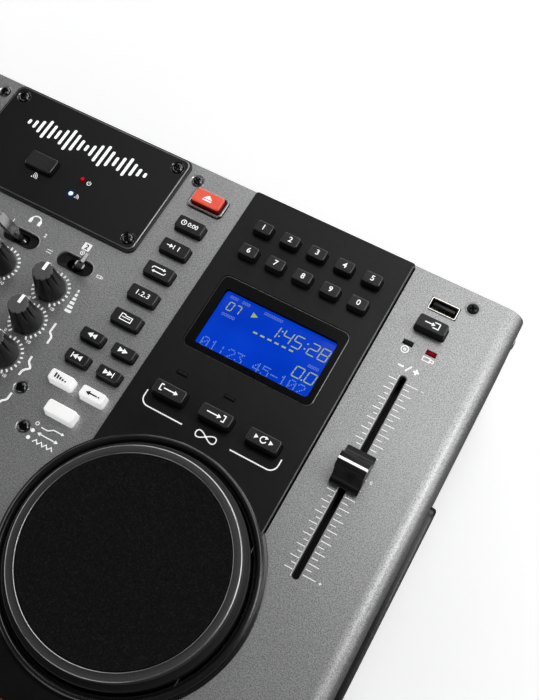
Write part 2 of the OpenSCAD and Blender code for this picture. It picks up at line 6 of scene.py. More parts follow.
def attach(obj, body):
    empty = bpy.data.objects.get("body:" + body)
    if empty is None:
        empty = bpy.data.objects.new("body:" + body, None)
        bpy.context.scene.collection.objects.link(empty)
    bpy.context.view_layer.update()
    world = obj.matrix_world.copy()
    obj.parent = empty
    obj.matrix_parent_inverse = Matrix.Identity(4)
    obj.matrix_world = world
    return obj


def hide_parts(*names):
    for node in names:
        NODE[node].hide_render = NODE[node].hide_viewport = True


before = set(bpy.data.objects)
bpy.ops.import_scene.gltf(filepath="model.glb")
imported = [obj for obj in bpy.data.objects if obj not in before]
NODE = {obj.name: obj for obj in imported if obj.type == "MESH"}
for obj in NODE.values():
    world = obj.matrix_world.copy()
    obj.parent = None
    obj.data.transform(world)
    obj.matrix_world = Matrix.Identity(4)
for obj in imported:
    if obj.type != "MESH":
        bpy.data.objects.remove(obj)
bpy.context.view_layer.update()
scene = bpy.context.scene

# Plan positions are millimetres from the middle of the top panel, as in the CAD model.
MM, Y0 = 0.001, -3.5
T = 90.0            # top panel surface
P = T + 1.2         # deck panel surface
C = T + 2.0         # centre plate surface
U = T - 1.5         # underside of the top panel
DX = 135.8          # deck centre line
JOG_Y = -41.5


# ------------------------------------------------------------------ camera

def axis_rot(axis, deg):
    return Matrix.Rotation(math.radians(deg), 3, axis)

cam_data = bpy.data.cameras.new("camera")
cam = bpy.data.objects.new("camera", cam_data)
scene.collection.objects.link(cam)
turn = axis_rot("Z", 3.237) @ axis_rot("X", -24.614) @ axis_rot("Z", -32.207)
cam.matrix_world = Matrix.Translation((0.242665, -0.090452, 0.510846)) @ turn.transposed().to_4x4()
cam_data.sensor_fit = "AUTO"
cam_data.sensor_width = 36.0
cam_data.lens = 50.495
cam_data.clip_start = 0.01
cam_data.clip_end = 20
cam_data.dof.use_dof = False
scene.camera = cam


# --------------------------------------------------------------- materials

class Nodes:
    """Shorthand for building one node tree."""
    def __init__(self, name):
        self.m = bpy.data.materials.new(name)
        self.m.use_nodes = True
        self.t = self.m.node_tree
        self.t.nodes.clear()
        self.out = self.t.nodes.new("ShaderNodeOutputMaterial")
        self.bsdf = self.t.nodes.new("ShaderNodeBsdfPrincipled")
        self.t.links.new(self.bsdf.outputs[0], self.out.inputs[0])
        self.coord = self.t.nodes.new("ShaderNodeTexCoord").outputs["Object"]

    def link(self, a, b):
        self.t.links.new(a, b)

    def noise(self, scale, detail=2.0, rough=0.5, distort=0.0, vector=None):
        n = self.t.nodes.new("ShaderNodeTexNoise")
        n.inputs["Scale"].default_value = scale
        n.inputs["Detail"].default_value = detail
        n.inputs["Roughness"].default_value = rough
        n.inputs["Distortion"].default_value = distort
        self.link(vector or self.coord, n.inputs["Vector"])
        return n.outputs["Fac"]

    def voronoi(self, scale, feature="F1", vector=None):
        n = self.t.nodes.new("ShaderNodeTexVoronoi")
        n.feature = feature
        n.inputs["Scale"].default_value = scale
        self.link(vector or self.coord, n.inputs["Vector"])
        return n

    def scaled(self, sx, sy, sz):
        n = self.t.nodes.new("ShaderNodeMapping")
        n.inputs["Scale"].default_value = (sx, sy, sz)
        self.link(self.coord, n.inputs["Vector"])
        return n.outputs["Vector"]

    def ramp(self, fac, stops):
        n = self.t.nodes.new("ShaderNodeValToRGB")
        el = n.color_ramp.elements
        while len(el) < len(stops):
            el.new(0.5)
        for e, (at, col) in zip(el, stops):
            e.position = at
            e.color = (*col, 1.0) if len(col) == 3 else col
        self.link(fac, n.inputs["Fac"])
        return n.outputs["Color"]

    def span(self, fac, lo, hi, a=0.3, b=0.7):
        n = self.t.nodes.new("ShaderNodeMapRange")
        n.inputs["From Min"].default_value = a
        n.inputs["From Max"].default_value = b
        n.inputs["To Min"].default_value = lo
        n.inputs["To Max"].default_value = hi
        self.link(fac, n.inputs["Value"])
        return n.outputs["Result"]

    def add(self, a, b, wa=1.0, wb=1.0):
        n = self.t.nodes.new("ShaderNodeMath")
        n.operation = "MULTIPLY_ADD"
        n.inputs[1].default_value = wa
        self.link(a, n.inputs[0])
        k = self.t.nodes.new("ShaderNodeMath")
        k.operation = "MULTIPLY"
        k.inputs[1].default_value = wb
        self.link(b, k.inputs[0])
        self.link(k.outputs[0], n.inputs[2])
        return n.outputs[0]

    def bump(self, height, strength, distance_mm):
        n = self.t.nodes.new("ShaderNodeBump")
        n.inputs["Strength"].default_value = strength
        n.inputs["Distance"].default_value = distance_mm * MM
        self.link(height, n.inputs["Height"])
        self.link(n.outputs["Normal"], self.bsdf.inputs["Normal"])

    def set(self, **kw):
        for k, v in kw.items():
            self.bsdf.inputs[k.replace("_", " ")].default_value = v

    def base(self, col):
        self.link(col, self.bsdf.inputs["Base Color"])

    def rough(self, v):
        self.link(v, self.bsdf.inputs["Roughness"])


def grey(v):
    return (v, v, v)


def plain(name, dark, light, rough, scale=900, bump=0.15, depth=0.02, fine=2600, **extra):
    """A moulded or painted surface: mottled colour, varying roughness, fine grain."""
    n = Nodes(name)
    f = n.noise(scale, 3)
    broad = n.noise(28, 2)
    n.base(n.ramp(n.add(f, broad, 0.6, 0.4), [(0.34, dark), (0.66, light)]))
    n.rough(n.span(n.add(f, broad, 0.5, 0.5), rough[0], rough[1]))
    if bump:
        n.bump(n.noise(fine, 2), bump, depth)
    n.set(**extra)
    return n.m


def grey_paint():
    n = Nodes("grey_speckle_paint")
    flake = n.noise(1900, 2, 0.6)
    cell = n.voronoi(2600).outputs["Distance"]
    broad = n.noise(9, 2)
    mix = n.add(n.add(flake, cell, 0.75, 0.25), broad, 0.9, 0.1)
    n.base(n.ramp(mix, [(0.29, (0.126, 0.127, 0.128)), (0.44, (0.329, 0.330, 0.333)),
                        (0.59, (0.574, 0.576, 0.580))]))
    n.rough(n.span(flake, 0.38, 0.48))
    n.bump(n.add(flake, n.noise(1300, 1), 0.7, 0.3), 0.24, 0.05)
    n.set(Metallic=0.75, Specular_IOR_Level=0.4)
    return n.m


def deck_black():
    n = Nodes("satin_black_moulding")
    grain = n.voronoi(1500).outputs["Distance"]
    f = n.noise(420, 3)
    n.base(n.ramp(f, [(0.3, grey(0.0056)), (0.7, grey(0.0081))]))
    n.rough(n.span(n.noise(60, 2), 0.34, 0.42))
    n.bump(n.add(grain, n.noise(3400, 2), 0.6, 0.4), 0.10, 0.02)
    n.set(Specular_IOR_Level=0.27)
    return n.m


def jog_pad_mat():
    n = Nodes("jog_pad_cloth_grain")
    grain = n.voronoi(950).outputs["Distance"]
    f = n.noise(1500, 3, 0.7)
    n.base(n.ramp(f, [(0.34, grey(0.0030)), (0.56, grey(0.0085)), (0.74, grey(0.026))]))
    n.rough(n.span(f, 0.7, 0.9))
    n.bump(n.add(grain, f, 0.6, 0.4), 0.5, 0.12)
    n.set(Specular_IOR_Level=0.06)
    return n.m


def jog_satin_painted_shade(name, x):
    """Satin rim of the jog wheel whose middle is at x, coloured darker towards its pad as painted shade."""
    n = Nodes(name)
    m = n.t.nodes.new("ShaderNodeMapping")
    m.inputs["Location"].default_value = (-x / 0.06, 0.045 / 0.06, 0.0)
    m.inputs["Scale"].default_value = (1 / 0.06, 1 / 0.06, 0.0)
    n.link(n.coord, m.inputs["Vector"])
    g = n.t.nodes.new("ShaderNodeTexGradient")
    g.gradient_type = "SPHERICAL"
    n.link(m.outputs["Vector"], g.inputs["Vector"])
    f = n.noise(1500, 3)
    out = n.span(g.outputs["Fac"], 1.0, 0.0, 0.17, 0.235)
    n.base(n.ramp(n.add(out, f, 0.5, 0.5), [(0.20, grey(0.022)), (0.80, grey(0.086))]))
    n.rough(n.span(f, 0.32, 0.42))
    n.bump(n.noise(1700, 2), 0.22, 0.04)
    n.set(Metallic=0.25, Specular_IOR_Level=0.6)
    return n.m


def board_mat():
    n = Nodes("circuit_board")
    tracks = n.voronoi(160, "DISTANCE_TO_EDGE").outputs["Distance"]
    f = n.noise(700, 2)
    n.base(n.ramp(n.add(tracks, f, 1.0, 0.12), [(0.06, (0.010, 0.050, 0.024)), (0.14, (0.004, 0.026, 0.012)),
                                              (0.6, (0.004, 0.022, 0.010))]))
    n.rough(n.span(f, 0.28, 0.42))
    n.bump(tracks, 0.25, 0.04)
    n.set(Specular_IOR_Level=0.5)
    return n.m


def metal(name, dark, light, rough, aniso=0.0, scale=500, stretch=(1, 1, 1), bump=0.06):
    n = Nodes(name)
    v = n.scaled(*stretch)
    f = n.noise(scale, 3, 0.6, vector=v)
    n.base(n.ramp(f, [(0.3, dark), (0.7, light)]))
    n.rough(n.span(f, rough[0], rough[1]))
    n.bump(f, bump, 0.02)
    n.set(Metallic=1.0, Anisotropic=aniso)
    return n.m


def glow(name, body, dark, light, strength, rough=0.25, scale=260, coat=0.4, spec=0.5):
    """A lit translucent piece: the glow varies gently over it."""
    n = Nodes(name)
    f = n.noise(scale, 2)
    n.base(n.ramp(n.noise(900, 2), [(0.3, body), (0.7, tuple(min(1, c * 1.25) for c in body))]))
    n.rough(n.span(f, rough * 0.8, rough * 1.2))
    n.link(n.ramp(f, [(0.25, dark), (0.75, light)]), n.bsdf.inputs["Emission Color"])
    n.set(Emission_Strength=strength, Coat_Weight=coat, Coat_Roughness=0.08, Specular_IOR_Level=spec)
    return n.m


def lcd_mat():
    n = Nodes("lcd_blue")
    broad = n.noise(45, 1)
    pix = n.noise(1800, 1)
    mix = n.add(broad, pix, 0.8, 0.2)
    n.base(n.ramp(mix, [(0.3, (0.0, 0.006, 0.07)), (0.7, (0.0, 0.010, 0.10))]))
    n.link(n.ramp(mix, [(0.28, (0.0, 0.031, 0.44)), (0.72, (0.001, 0.044, 0.55))]), n.bsdf.inputs["Emission Color"])
    n.rough(n.span(broad, 0.10, 0.16))
    n.set(Emission_Strength=1.0, Coat_Weight=0.08, Coat_Roughness=0.04, Specular_IOR_Level=0.10)
    return n.m


M = {
    "paint": grey_paint(),
    "deck": deck_black(),
    "plate": plain("plate_black", grey(0.0074), grey(0.0104), (0.30, 0.38), 500, 0.08, 0.02, 2400, Specular_IOR_Level=0.29),
    "steel_black": plain("pan_black_paint", grey(0.026), grey(0.040), (0.34, 0.46), 900, 0.30, 0.04, 1500, Specular_IOR_Level=0.5),
    "plastic": plain("black_plastic", grey(0.012), grey(0.020), (0.34, 0.46), 700, 0.18, 0.03, 1700),
    "key": plain("key_black", grey(0.0115), grey(0.0270), (0.36, 0.48), 1500, 0.34, 0.04, 1900, Specular_IOR_Level=0.32),
    # darker key skirts: painted shade
    "key_side": plain("key_side_black", grey(0.0075), grey(0.0115), (0.46, 0.56), 900, 0.2, 0.03, 2300, Specular_IOR_Level=0.2),
    # lighter, glossier key shoulders: partly painted highlight
    "key_edge": plain("key_edge_sheen", grey(0.020), grey(0.028), (0.26, 0.34), 900, 0.1, 0.02, 2300, Specular_IOR_Level=0.8),
    # darker red skirt of the eject key: painted shade
    "key_red_side": plain("key_red_side", (0.30, 0.006, 0.009), (0.40, 0.012, 0.013), (0.3, 0.4), 500, 0.08, 0.02, 2000, Specular_IOR_Level=0.4),
    # lighter metal on the plate's bevel: painted highlight
    "plate_edge": plain("plate_edge_sheen", grey(0.24), grey(0.31), (0.28, 0.38), 600, 0.06, 0.02, 2000, Metallic=0.8),
    "plate_band": plain("plate_rim_black", grey(0.015), grey(0.021), (0.30, 0.40), 600, 0.08, 0.02, 2000, Specular_IOR_Level=0.5),
    # bright metal on the panel's grey screw dishes: partly painted highlight
    "seat": plain("seat_smooth_grey", grey(0.86), grey(0.94), (0.26, 0.34), 700, 0.05, 0.02, 1800, Metallic=0.8),
    # lighter lips of the lever slots: partly painted highlight
    "slot_lip": plain("slot_lip_grey", grey(0.30), grey(0.40), (0.30, 0.40), 700, 0.06, 0.02, 1800, Metallic=0.3),
    "seat_dark": metal("seat_smooth_black", grey(0.16), grey(0.22), (0.20, 0.28)),
    "side_screw": metal("screw_zinc", grey(0.42), grey(0.54), (0.32, 0.44)),
    # white keys glow slightly: painted light
    "key_white": plain("key_white", (0.86, 0.86, 0.85), (0.93, 0.93, 0.92), (0.34, 0.46), 500, 0.08, 0.02, 2000, Specular_IOR_Level=0.5, Emission_Strength=0.36),
    "key_red": glow("key_red_lit", (0.74, 0.070, 0.034), (0.60, 0.040, 0.018), (1.0, 0.19, 0.115), 0.30, 0.32, 110, 0.15),
    "key_green": plain("key_green", (0.012, 0.17, 0.045), (0.022, 0.26, 0.07), (0.28, 0.38), 500, 0.08, 0.02, 2000, Coat_Weight=0.25),
    "key_amber": plain("key_amber", (0.50, 0.15, 0.008), (0.66, 0.22, 0.014), (0.28, 0.38), 500, 0.08, 0.02, 2000, Coat_Weight=0.25),
    "gloss": plain("gloss_black", grey(0.0026), grey(0.0038), (0.18, 0.26), 300, 0.02, 0.01, 900, Specular_IOR_Level=0.09),
    "knob": plain("knob_black", grey(0.0115), grey(0.0180), (0.36, 0.46), 900, 0.14, 0.02, 2300, Specular_IOR_Level=0.28),
    "fader": plain("fader_black", grey(0.0070), grey(0.0105), (0.34, 0.44), 900, 0.12, 0.02, 2300, Specular_IOR_Level=0.20),
    "knob_top": plain("knob_cap_grey", grey(0.082), grey(0.112), (0.42, 0.52), 900, 0.16, 0.03, 2100),
    "lever": plain("lever_dark_chrome", grey(0.15), grey(0.21), (0.16, 0.24), 600, 0.04, 0.02, 1600, Metallic=0.9, Coat_Weight=0.2, Coat_Roughness=0.1),
    # near-black matte used where shade falls: painted shade
    "cover": plain("dust_cover_black", grey(0.0020), grey(0.0035), (0.75, 0.9), 500, 0.2, 0.03, 1500, Specular_IOR_Level=0.05),
    "dust": plain("slot_strip_black", grey(0.011), grey(0.016), (0.5, 0.6), 500, 0.2, 0.03, 1500, Specular_IOR_Level=0.2),
    # lighter grey on edge roundings: painted highlight lines
    "trim": plain("window_edge", grey(0.12), grey(0.17), (0.25, 0.35), 700, 0.1, 0.02, 1800, Metallic=0.6),
    # white print glows slightly: painted light
    "ink": plain("white_print", (0.84, 0.84, 0.84), (0.90, 0.90, 0.90), (0.45, 0.6), 1500, 0.1, 0.01, 3000, Emission_Strength=0.42),
    "ink_dark": plain("dark_print", grey(0.012), grey(0.020), (0.5, 0.6), 1500, 0.1, 0.01, 3000),
    "jog_left": jog_satin_painted_shade("jog_satin_left", -DX * MM),
    "jog_right": jog_satin_painted_shade("jog_satin_right", DX * MM),
    # bright metal on the jog rim's edges: partly painted highlight
    "jog_edge": metal("jog_edge_polished", grey(0.44), grey(0.52), (0.32, 0.40), 0.0, 500, (1, 1, 1), 0.02),
    "bead": plain("ring_gloss_black", grey(0.010), grey(0.014), (0.20, 0.28), 500, 0.06, 0.02, 1900, Specular_IOR_Level=0.7),
    "pad": jog_pad_mat(),
    "rubber": plain("foot_rubber", grey(0.010), grey(0.018), (0.75, 0.9), 600, 0.4, 0.06, 1200, Specular_IOR_Level=0.3),
    "board": board_mat(),
    "drive": plain("drive_grey", grey(0.045), grey(0.065), (0.4, 0.55), 500, 0.2, 0.04, 1300),
    "pickup": plain("pickup_grey", grey(0.07), grey(0.10), (0.35, 0.5), 700, 0.15, 0.03, 1600),
    "spindle": plain("spindle_black", grey(0.016), grey(0.026), (0.3, 0.45), 700, 0.15, 0.03, 1600),
    "tray": plain("tray_black", grey(0.015), grey(0.021), (0.30, 0.38), 600, 0.04, 0.02, 1900, Specular_IOR_Level=0.5),
    "handle": plain("handle_black", grey(0.008), grey(0.013), (0.24, 0.34), 500, 0.20, 0.04, 950),
    "steel": metal("axle_steel", grey(0.50), grey(0.62), (0.22, 0.34), 0.2, 700, (1, 1, 0.1)),
    "nickel": metal("nickel", (0.60, 0.59, 0.57), (0.72, 0.71, 0.69), (0.14, 0.24)),
    "gold": metal("contact_gold", (0.72, 0.50, 0.18), (0.86, 0.62, 0.26), (0.16, 0.26)),
    "chrome": metal("bezel_silver", grey(0.29), grey(0.36), (0.20, 0.30)),
    "screw": metal("screw_black_oxide", grey(0.085), grey(0.130), (0.14, 0.22), 0.0, 900),
    "screw_satin": plain("screw_satin_black", grey(0.0075), grey(0.0130), (0.24, 0.34), 700, 0.08, 0.02, 1800, Specular_IOR_Level=0.30),
    "pot": metal("pot_dark_zinc", grey(0.030), grey(0.045), (0.45, 0.6)),
    "red_ring": plain("phono_red", (0.42, 0.012, 0.010), (0.56, 0.020, 0.016), (0.3, 0.42), 600, 0.1, 0.02, 1800),
    "white_ring": plain("phono_white", (0.68, 0.68, 0.66), (0.78, 0.78, 0.76), (0.3, 0.42), 600, 0.1, 0.02, 1800),
    "lcd": lcd_mat(),
    "seg": glow("lcd_segment", (0.08, 0.11, 0.03), (0.27, 0.37, 0.09), (0.37, 0.46, 0.13), 0.9, 0.4, 300, 0.0, 0.1),
    "seg_dim": glow("lcd_segment_dim", (0.04, 0.06, 0.16), (0.09, 0.17, 0.46), (0.13, 0.22, 0.54), 0.9, 0.4, 300, 0.0, 0.1),
    "seg_fine": glow("lcd_matrix_dot", (0.04, 0.06, 0.10), (0.09, 0.20, 0.52), (0.15, 0.28, 0.62), 0.95, 0.4, 300, 0.0, 0.1),
    "lamp_red": glow("lamp_red_lit", (0.12, 0.0008, 0.0015), (0.24, 0.0006, 0.002), (0.40, 0.0016, 0.006), 0.85, 0.4, 500, 0.0, 0.03),
    "lamp_dim": glow("lamp_red_soft", (0.06, 0.0008, 0.0014), (0.045, 0.0004, 0.0008), (0.11, 0.0010, 0.0020), 0.9, 0.4, 420, 0.0, 0.04),
    "lamp_core": glow("lamp_red_core", (0.10, 0.001, 0.003), (0.50, 0.002, 0.012), (0.66, 0.004, 0.020), 0.95, 0.4, 600, 0.0, 0.05),
    "lamp_halo": glow("lamp_blue_soft", (0.004, 0.008, 0.020), (0.003, 0.009, 0.034), (0.005, 0.015, 0.056), 0.9, 0.4, 500, 0.0, 0.1),
    "lamp_blue": glow("lamp_blue_rim", (0.01, 0.04, 0.22), (0.0, 0.03, 0.20), (0.01, 0.07, 0.38), 0.8, 0.2, 500),
    "lamp_white": glow("lamp_white_lit", (0.10, 0.12, 0.12), (0.76, 0.93, 0.96), (0.84, 0.99, 1.0), 1.0, 0.2, 500),
    "lamp_dark": plain("lamp_dark", grey(0.0055), grey(0.0085), (0.36, 0.46), 500, 0.05, 0.02, 1500, Specular_IOR_Level=0.13),
    "lamp_green": plain("lamp_green", (0.010, 0.11, 0.025), (0.018, 0.17, 0.04), (0.14, 0.24), 500, 0.05, 0.02, 1500, Coat_Weight=0.5),
    "lamp_amber": plain("lamp_amber", (0.30, 0.10, 0.008), (0.42, 0.15, 0.012), (0.14, 0.24), 500, 0.05, 0.02, 1500, Coat_Weight=0.5),
    "lamp_redoff": plain("lamp_red_unlit", (0.16, 0.006, 0.006), (0.24, 0.010, 0.010), (0.14, 0.24), 500, 0.05, 0.02, 1500, Coat_Weight=0.5),
}


# ------------------------------------------------------------ mesh builder

class Build:
    """Gathers closed shapes, in millimetres from the panel's middle, into one mesh."""
    def __init__(self):
        self.v, self.f, self.m = [], [], []

    def add(self, shape, mi=0, at=None):
        verts, faces = shape
        n = len(self.v)
        self.v += [at(p) for p in verts] if at else [tuple(p) for p in verts]
        self.f += [tuple(i + n for i in f) for f in faces]
        self.m += [mi] * len(faces)

    def done(self, name, body, mats, angle=34, stands_for=()):
        me = bpy.data.meshes.new(name)
        me.from_pydata([(x * MM, (y + Y0) * MM, z * MM) for x, y, z in self.v], [], self.f)
        for m in mats:
            me.materials.append(M[m])
        me.polygons.foreach_set("material_index", self.m)
        bm = bmesh.new()
        bm.from_mesh(me)
        bmesh.ops.recalc_face_normals(bm, faces=bm.faces)
        bm.to_mesh(me)
        bm.free()
        me.polygons.foreach_set("use_smooth", [True] * len(me.polygons))
        me.set_sharp_from_angle(angle=math.radians(angle))
        me.update()
        ob = bpy.data.objects.new(name, me)
        scene.collection.objects.link(ob)
        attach(ob, body)
        if stands_for:
            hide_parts(*stands_for)
        return ob


def rrect(w, d, r, n=5):
    r = max(min(r, w / 2 - 0.01, d / 2 - 0.01), 0.02)
    pts = []
    for cx, cy, a0 in ((w / 2 - r, d / 2 - r, 0), (-w / 2 + r, d / 2 - r, 90),
                       (-w / 2 + r, -d / 2 + r, 180), (w / 2 - r, -d / 2 + r, 270)):
        for i in range(n + 1):
            a = math.radians(a0 + 90 * i / n)
            pts.append((cx + r * math.cos(a), cy + r * math.sin(a)))
    return pts


def loft(rings, closed=False):
    """Skins rings of equal length; capped at both ends unless the last ring joins the first."""
    n, k = len(rings[0]), len(rings)
    v = [p for r in rings for p in r]
    f = []
    for a in range(k if closed else k - 1):
        b = (a + 1) % k
        for i in range(n):
            j = (i + 1) % n
            f.append((a * n + i, a * n + j, b * n + j, b * n + i))
    if not closed:
        f.append(tuple(reversed(range(n))))
        f.append(tuple(range((k - 1) * n, k * n)))
    return v, f


def revolve(profile, n=48):
    """Turns an open profile that starts and ends on the axis, or a closed one clear of it."""
    on_axis = abs(profile[0][0]) < 1e-6
    v, f = [], []
    if not on_axis:
        rings = [[(r * math.cos(2 * math.pi * i / n), r * math.sin(2 * math.pi * i / n), z)
                  for i in range(n)] for r, z in profile]
        return loft(rings, closed=True)
    v = [(0, 0, profile[0][1])]
    mid = profile[1:-1]
    for r, z in mid:
        v += [(r * math.cos(2 * math.pi * i / n), r * math.sin(2 * math.pi * i / n), z) for i in range(n)]
    v.append((0, 0, profile[-1][1]))
    last = len(v) - 1
    for i in range(n):
        j = (i + 1) % n
        f.append((0, 1 + j, 1 + i))
        for k in range(len(mid) - 1):
            a, b = 1 + k * n, 1 + (k + 1) * n
            f.append((a + i, a + j, b + j, b + i))
        a = 1 + (len(mid) - 1) * n
        f.append((a + i, a + j, last))
    return v, f


def prism(pts, z0, z1):
    n = len(pts)
    v = [(x, y, z0) for x, y in pts] + [(x, y, z1) for x, y in pts]
    f = [tuple(reversed(range(n))), tuple(range(n, 2 * n))]
    f += [(i, (i + 1) % n, n + (i + 1) % n, n + i) for i in range(n)]
    return v, f


def ribbon(pts, w, z0, z1, closed=False):
    """A line of constant width as a closed thin solid."""
    n = len(pts)
    left, right = [], []
    for i in range(n):
        a = pts[i - 1] if (i > 0 or closed) else None
        b = pts[(i + 1) % n] if (i < n - 1 or closed) else None
        p = pts[i]
        dirs = []
        if a is not None:
            dirs.append((p[0] - a[0], p[1] - a[1]))
        if b is not None:
            dirs.append((b[0] - p[0], b[1] - p[1]))
        ns = []
        for dx, dy in dirs:
            l = math.hypot(dx, dy) or 1
            ns.append((-dy / l, dx / l))
        nx, ny = sum(q[0] for q in ns), sum(q[1] for q in ns)
        l = math.hypot(nx, ny) or 1
        nx, ny = nx / l, ny / l
        k = w / 2 / max(0.4, nx * ns[0][0] + ny * ns[0][1])
        left.append((p[0] + nx * k, p[1] + ny * k))
        right.append((p[0] - nx * k, p[1] - ny * k))
    v = []
    for l, r in zip(left, right):
        v += [(l[0], l[1], z0), (r[0], r[1], z0), (r[0], r[1], z1), (l[0], l[1], z1)]
    f = []
    for i in range(n if closed else n - 1):
        a, b = 4 * i, 4 * ((i + 1) % n)
        for k in range(4):
            m = (k + 1) % 4
            f.append((a + k, b + k, b + m, a + m))
    if not closed:
        f.append((0, 1, 2, 3))
        e = 4 * (n - 1)
        f.append((e + 3, e + 2, e + 1, e))
    return v, f


def arc(cx, cy, r, a0, a1, n=16):
    return [(cx + r * math.cos(math.radians(a0 + (a1 - a0) * i / n)),
             cy + r * math.sin(math.radians(a0 + (a1 - a0) * i / n))) for i in range(n + 1)]


def disc(cx, cy, r, n=20):
    return arc(cx, cy, r, 0, 360 - 360 / n, n - 1)


def box_shape(a, b, bevel=0.0):
    """A block from its low corner to its high corner, its top and upright edges softened."""
    w, d = b[0] - a[0], b[1] - a[1]
    cx, cy = (a[0] + b[0]) / 2, (a[1] + b[1]) / 2
    e = min(bevel, w / 3, d / 3, (b[2] - a[2]) / 3)
    if e <= 0:
        return prism([(a[0], a[1]), (b[0], a[1]), (b[0], b[1]), (a[0], b[1])], a[2], b[2])
    rings = []
    for dw, z in ((e, a[2]), (0.3 * e, a[2] + 0.3 * e), (0, a[2] + e), (0, b[2] - e),
                  (0.3 * e, b[2] - 0.3 * e), (e, b[2])):
        rings.append([(cx + x, cy + y, z) for x, y in rrect(w - 2 * dw, d - 2 * dw, max(e - dw, 0.02) + 0.05, 3)])
    return loft(rings)


def sheet_solid(outer, profile, holes, z0, z1, support=0.12):
    """A plate with holes. outer(inset) gives its outline and profile its edge as (inset, height)
    steps up to the face; each hole is (outline(grow), chamfer)."""
    v, f = [], []
    def strip(rings):
        first = len(v)
        n = len(rings[0])
        for r in rings:
            v.extend(r)
        for a in range(len(rings) - 1):
            for i in range(n):
                j = (i + 1) % n
                f.append((first + a * n + i, first + a * n + j, first + (a + 1) * n + j, first + (a + 1) * n + i))
        return range(first, first + n), range(first + (len(rings) - 1) * n, first + len(rings) * n)
    def lift(pts, z):
        return [(x, y, z) for x, y in pts]
    low, high = [], []
    a, b_ = strip([lift(outer(0.0), z0)] + [lift(outer(i), z) for i, z in profile])
    low.append(a)
    high.append(b_)
    for h, e in holes:
        a, b_ = strip([lift(h(0.0), z0), lift(h(0.0), z1 - e), lift(h(e), z1), lift(h(e + support), z1)])
        low.append(a)
        high.append(b_)
    for loops in (low, high):
        index = [q for l in loops for q in l]
        for tri_ in tessellate_polygon([[Vector((v[q][0], v[q][1], 0)) for q in l] for l in loops]):
            f.append(tuple(index[q] for q in tri_))
    return v, f


def hollow_ring(loops):
    """A closed ring given by (offset, height) steps round a loop: loops is [(points, z), ...]."""
    return loft([[(x, y, z) for x, y in pts] for pts, z in loops], closed=True)


glyph_store = {}

def glyphs(text, height, weight=0.0):
    """Plain numerals as a closed flat solid, centred, height given in millimetres."""
    key = (text, weight)
    if key not in glyph_store:
        cu = bpy.data.curves.new("glyph", "FONT")
        cu.body = text
        cu.size = 1.0
        cu.extrude = 0.05
        cu.offset = weight
        cu.align_x = "CENTER"
        cu.resolution_u = 4
        ob = bpy.data.objects.new("glyph", cu)
        scene.collection.objects.link(ob)
        bpy.context.view_layer.update()
        me = bpy.data.meshes.new_from_object(ob.evaluated_get(bpy.context.evaluated_depsgraph_get()))
        bm = bmesh.new()
        bm.from_mesh(me)
        bmesh.ops.remove_doubles(bm, verts=bm.verts, dist=1e-5)
        bm.verts.ensure_lookup_table()
        v = [tuple(q.co) for q in bm.verts]
        f = [tuple(q.index for q in face.verts) for face in bm.faces]
        bm.free()
        bpy.data.objects.remove(ob)
        bpy.data.curves.remove(cu)
        bpy.data.meshes.remove(me)
        glyph_store[key] = (v, f)
    v, f = glyph_store[key]
    xs, ys = [p[0] for p in v], [p[1] for p in v]
    k = height / (max(ys) - min(ys))
    cx, cy = (max(xs) + min(xs)) / 2, (max(ys) + min(ys)) / 2
    return [((x - cx) * k, (y - cy) * k, 1.0 if z > 0 else 0.0) for x, y, z in v], f


class Ink:
    """Draws flat print on a surface at height z: each mark is a closed film."""
    def __init__(self, b, z, mi=0, low=-0.04, high=0.035):
        self.b, self.z0, self.z1, self.mi = b, z + low, z + high, mi
        self.o = (0.0, 0.0, 0.0, 1.0)

    def at(self, x, y, rot=0.0, scale=1.0):
        self.o = (x, y, math.radians(rot), scale)
        return self

    def place(self, p):
        ox, oy, r, s = self.o
        x, y = p[0] * s, p[1] * s
        return (ox + x * math.cos(r) - y * math.sin(r), oy + x * math.sin(r) + y * math.cos(r), p[2])

    def fill(self, pts):
        self.b.add(prism(pts, self.z0, self.z1), self.mi, self.place)
        return self

    def line(self, pts, w, closed=False):
        self.b.add(ribbon(pts, w, self.z0, self.z1, closed), self.mi, self.place)
        return self

    def bar(self, x0, y0, x1, y1):
        return self.fill([(x0, y0), (x1, y0), (x1, y1), (x0, y1)])

    def dot(self, x, y, r, n=16):
        return self.fill(disc(x, y, r, n))

    def ring(self, x, y, r, w, n=24):
        return self.line(disc(x, y, r, n), w, True)

    def num(self, text, x, y, h, weight=0.012):
        v, f = glyphs(text, h, weight)
        self.b.add(([(a + x, c + y, self.z1 if z > 0.5 else self.z0) for a, c, z in v], f), self.mi, self.place)
        return self


# ------------------------------------------------------------- print marks

def tri(i, x, y, w, h):
    """A triangle pointing to +x (or -x for a negative width), its middle at x, y."""
    i.fill([(x - w / 2, y - h / 2), (x + w / 2, y), (x - w / 2, y + h / 2)] if w > 0 else
           [(x - w / 2, y + h / 2), (x + w / 2, y), (x - w / 2, y - h / 2)])

def mark_clock(i):
    i.ring(-3.3, 0, 1.25, 0.42)
    i.line([(-3.3, 0.75), (-3.3, 0.0), (-2.75, -0.3)], 0.36)
    i.num("0:00", 1.6, 0, 2.3)

def mark_single(i):
    i.bar(-4.2, -0.22, -2.2, 0.22)
    tri(i, -1.6, 0, 1.6, 2.2)
    i.bar(-0.55, -1.2, -0.1, 1.2)
    i.num("1", 2.2, 0, 2.5)

def mark_repeat(i):
    top = [(-3.6, -0.1)] + arc(-2.7, 0.25, 0.9, 180, 90, 5) + [(2.0, 1.15)]
    low = [(3.6, 0.1)] + arc(2.7, -0.25, 0.9, 0, -90, 5) + [(-2.0, -1.15)]
    i.line(top, 0.5)
    i.line(low, 0.5)
    tri(i, 2.6, 1.15, 1.3, 1.7)
    tri(i, -2.6, -1.15, -1.3, 1.7)

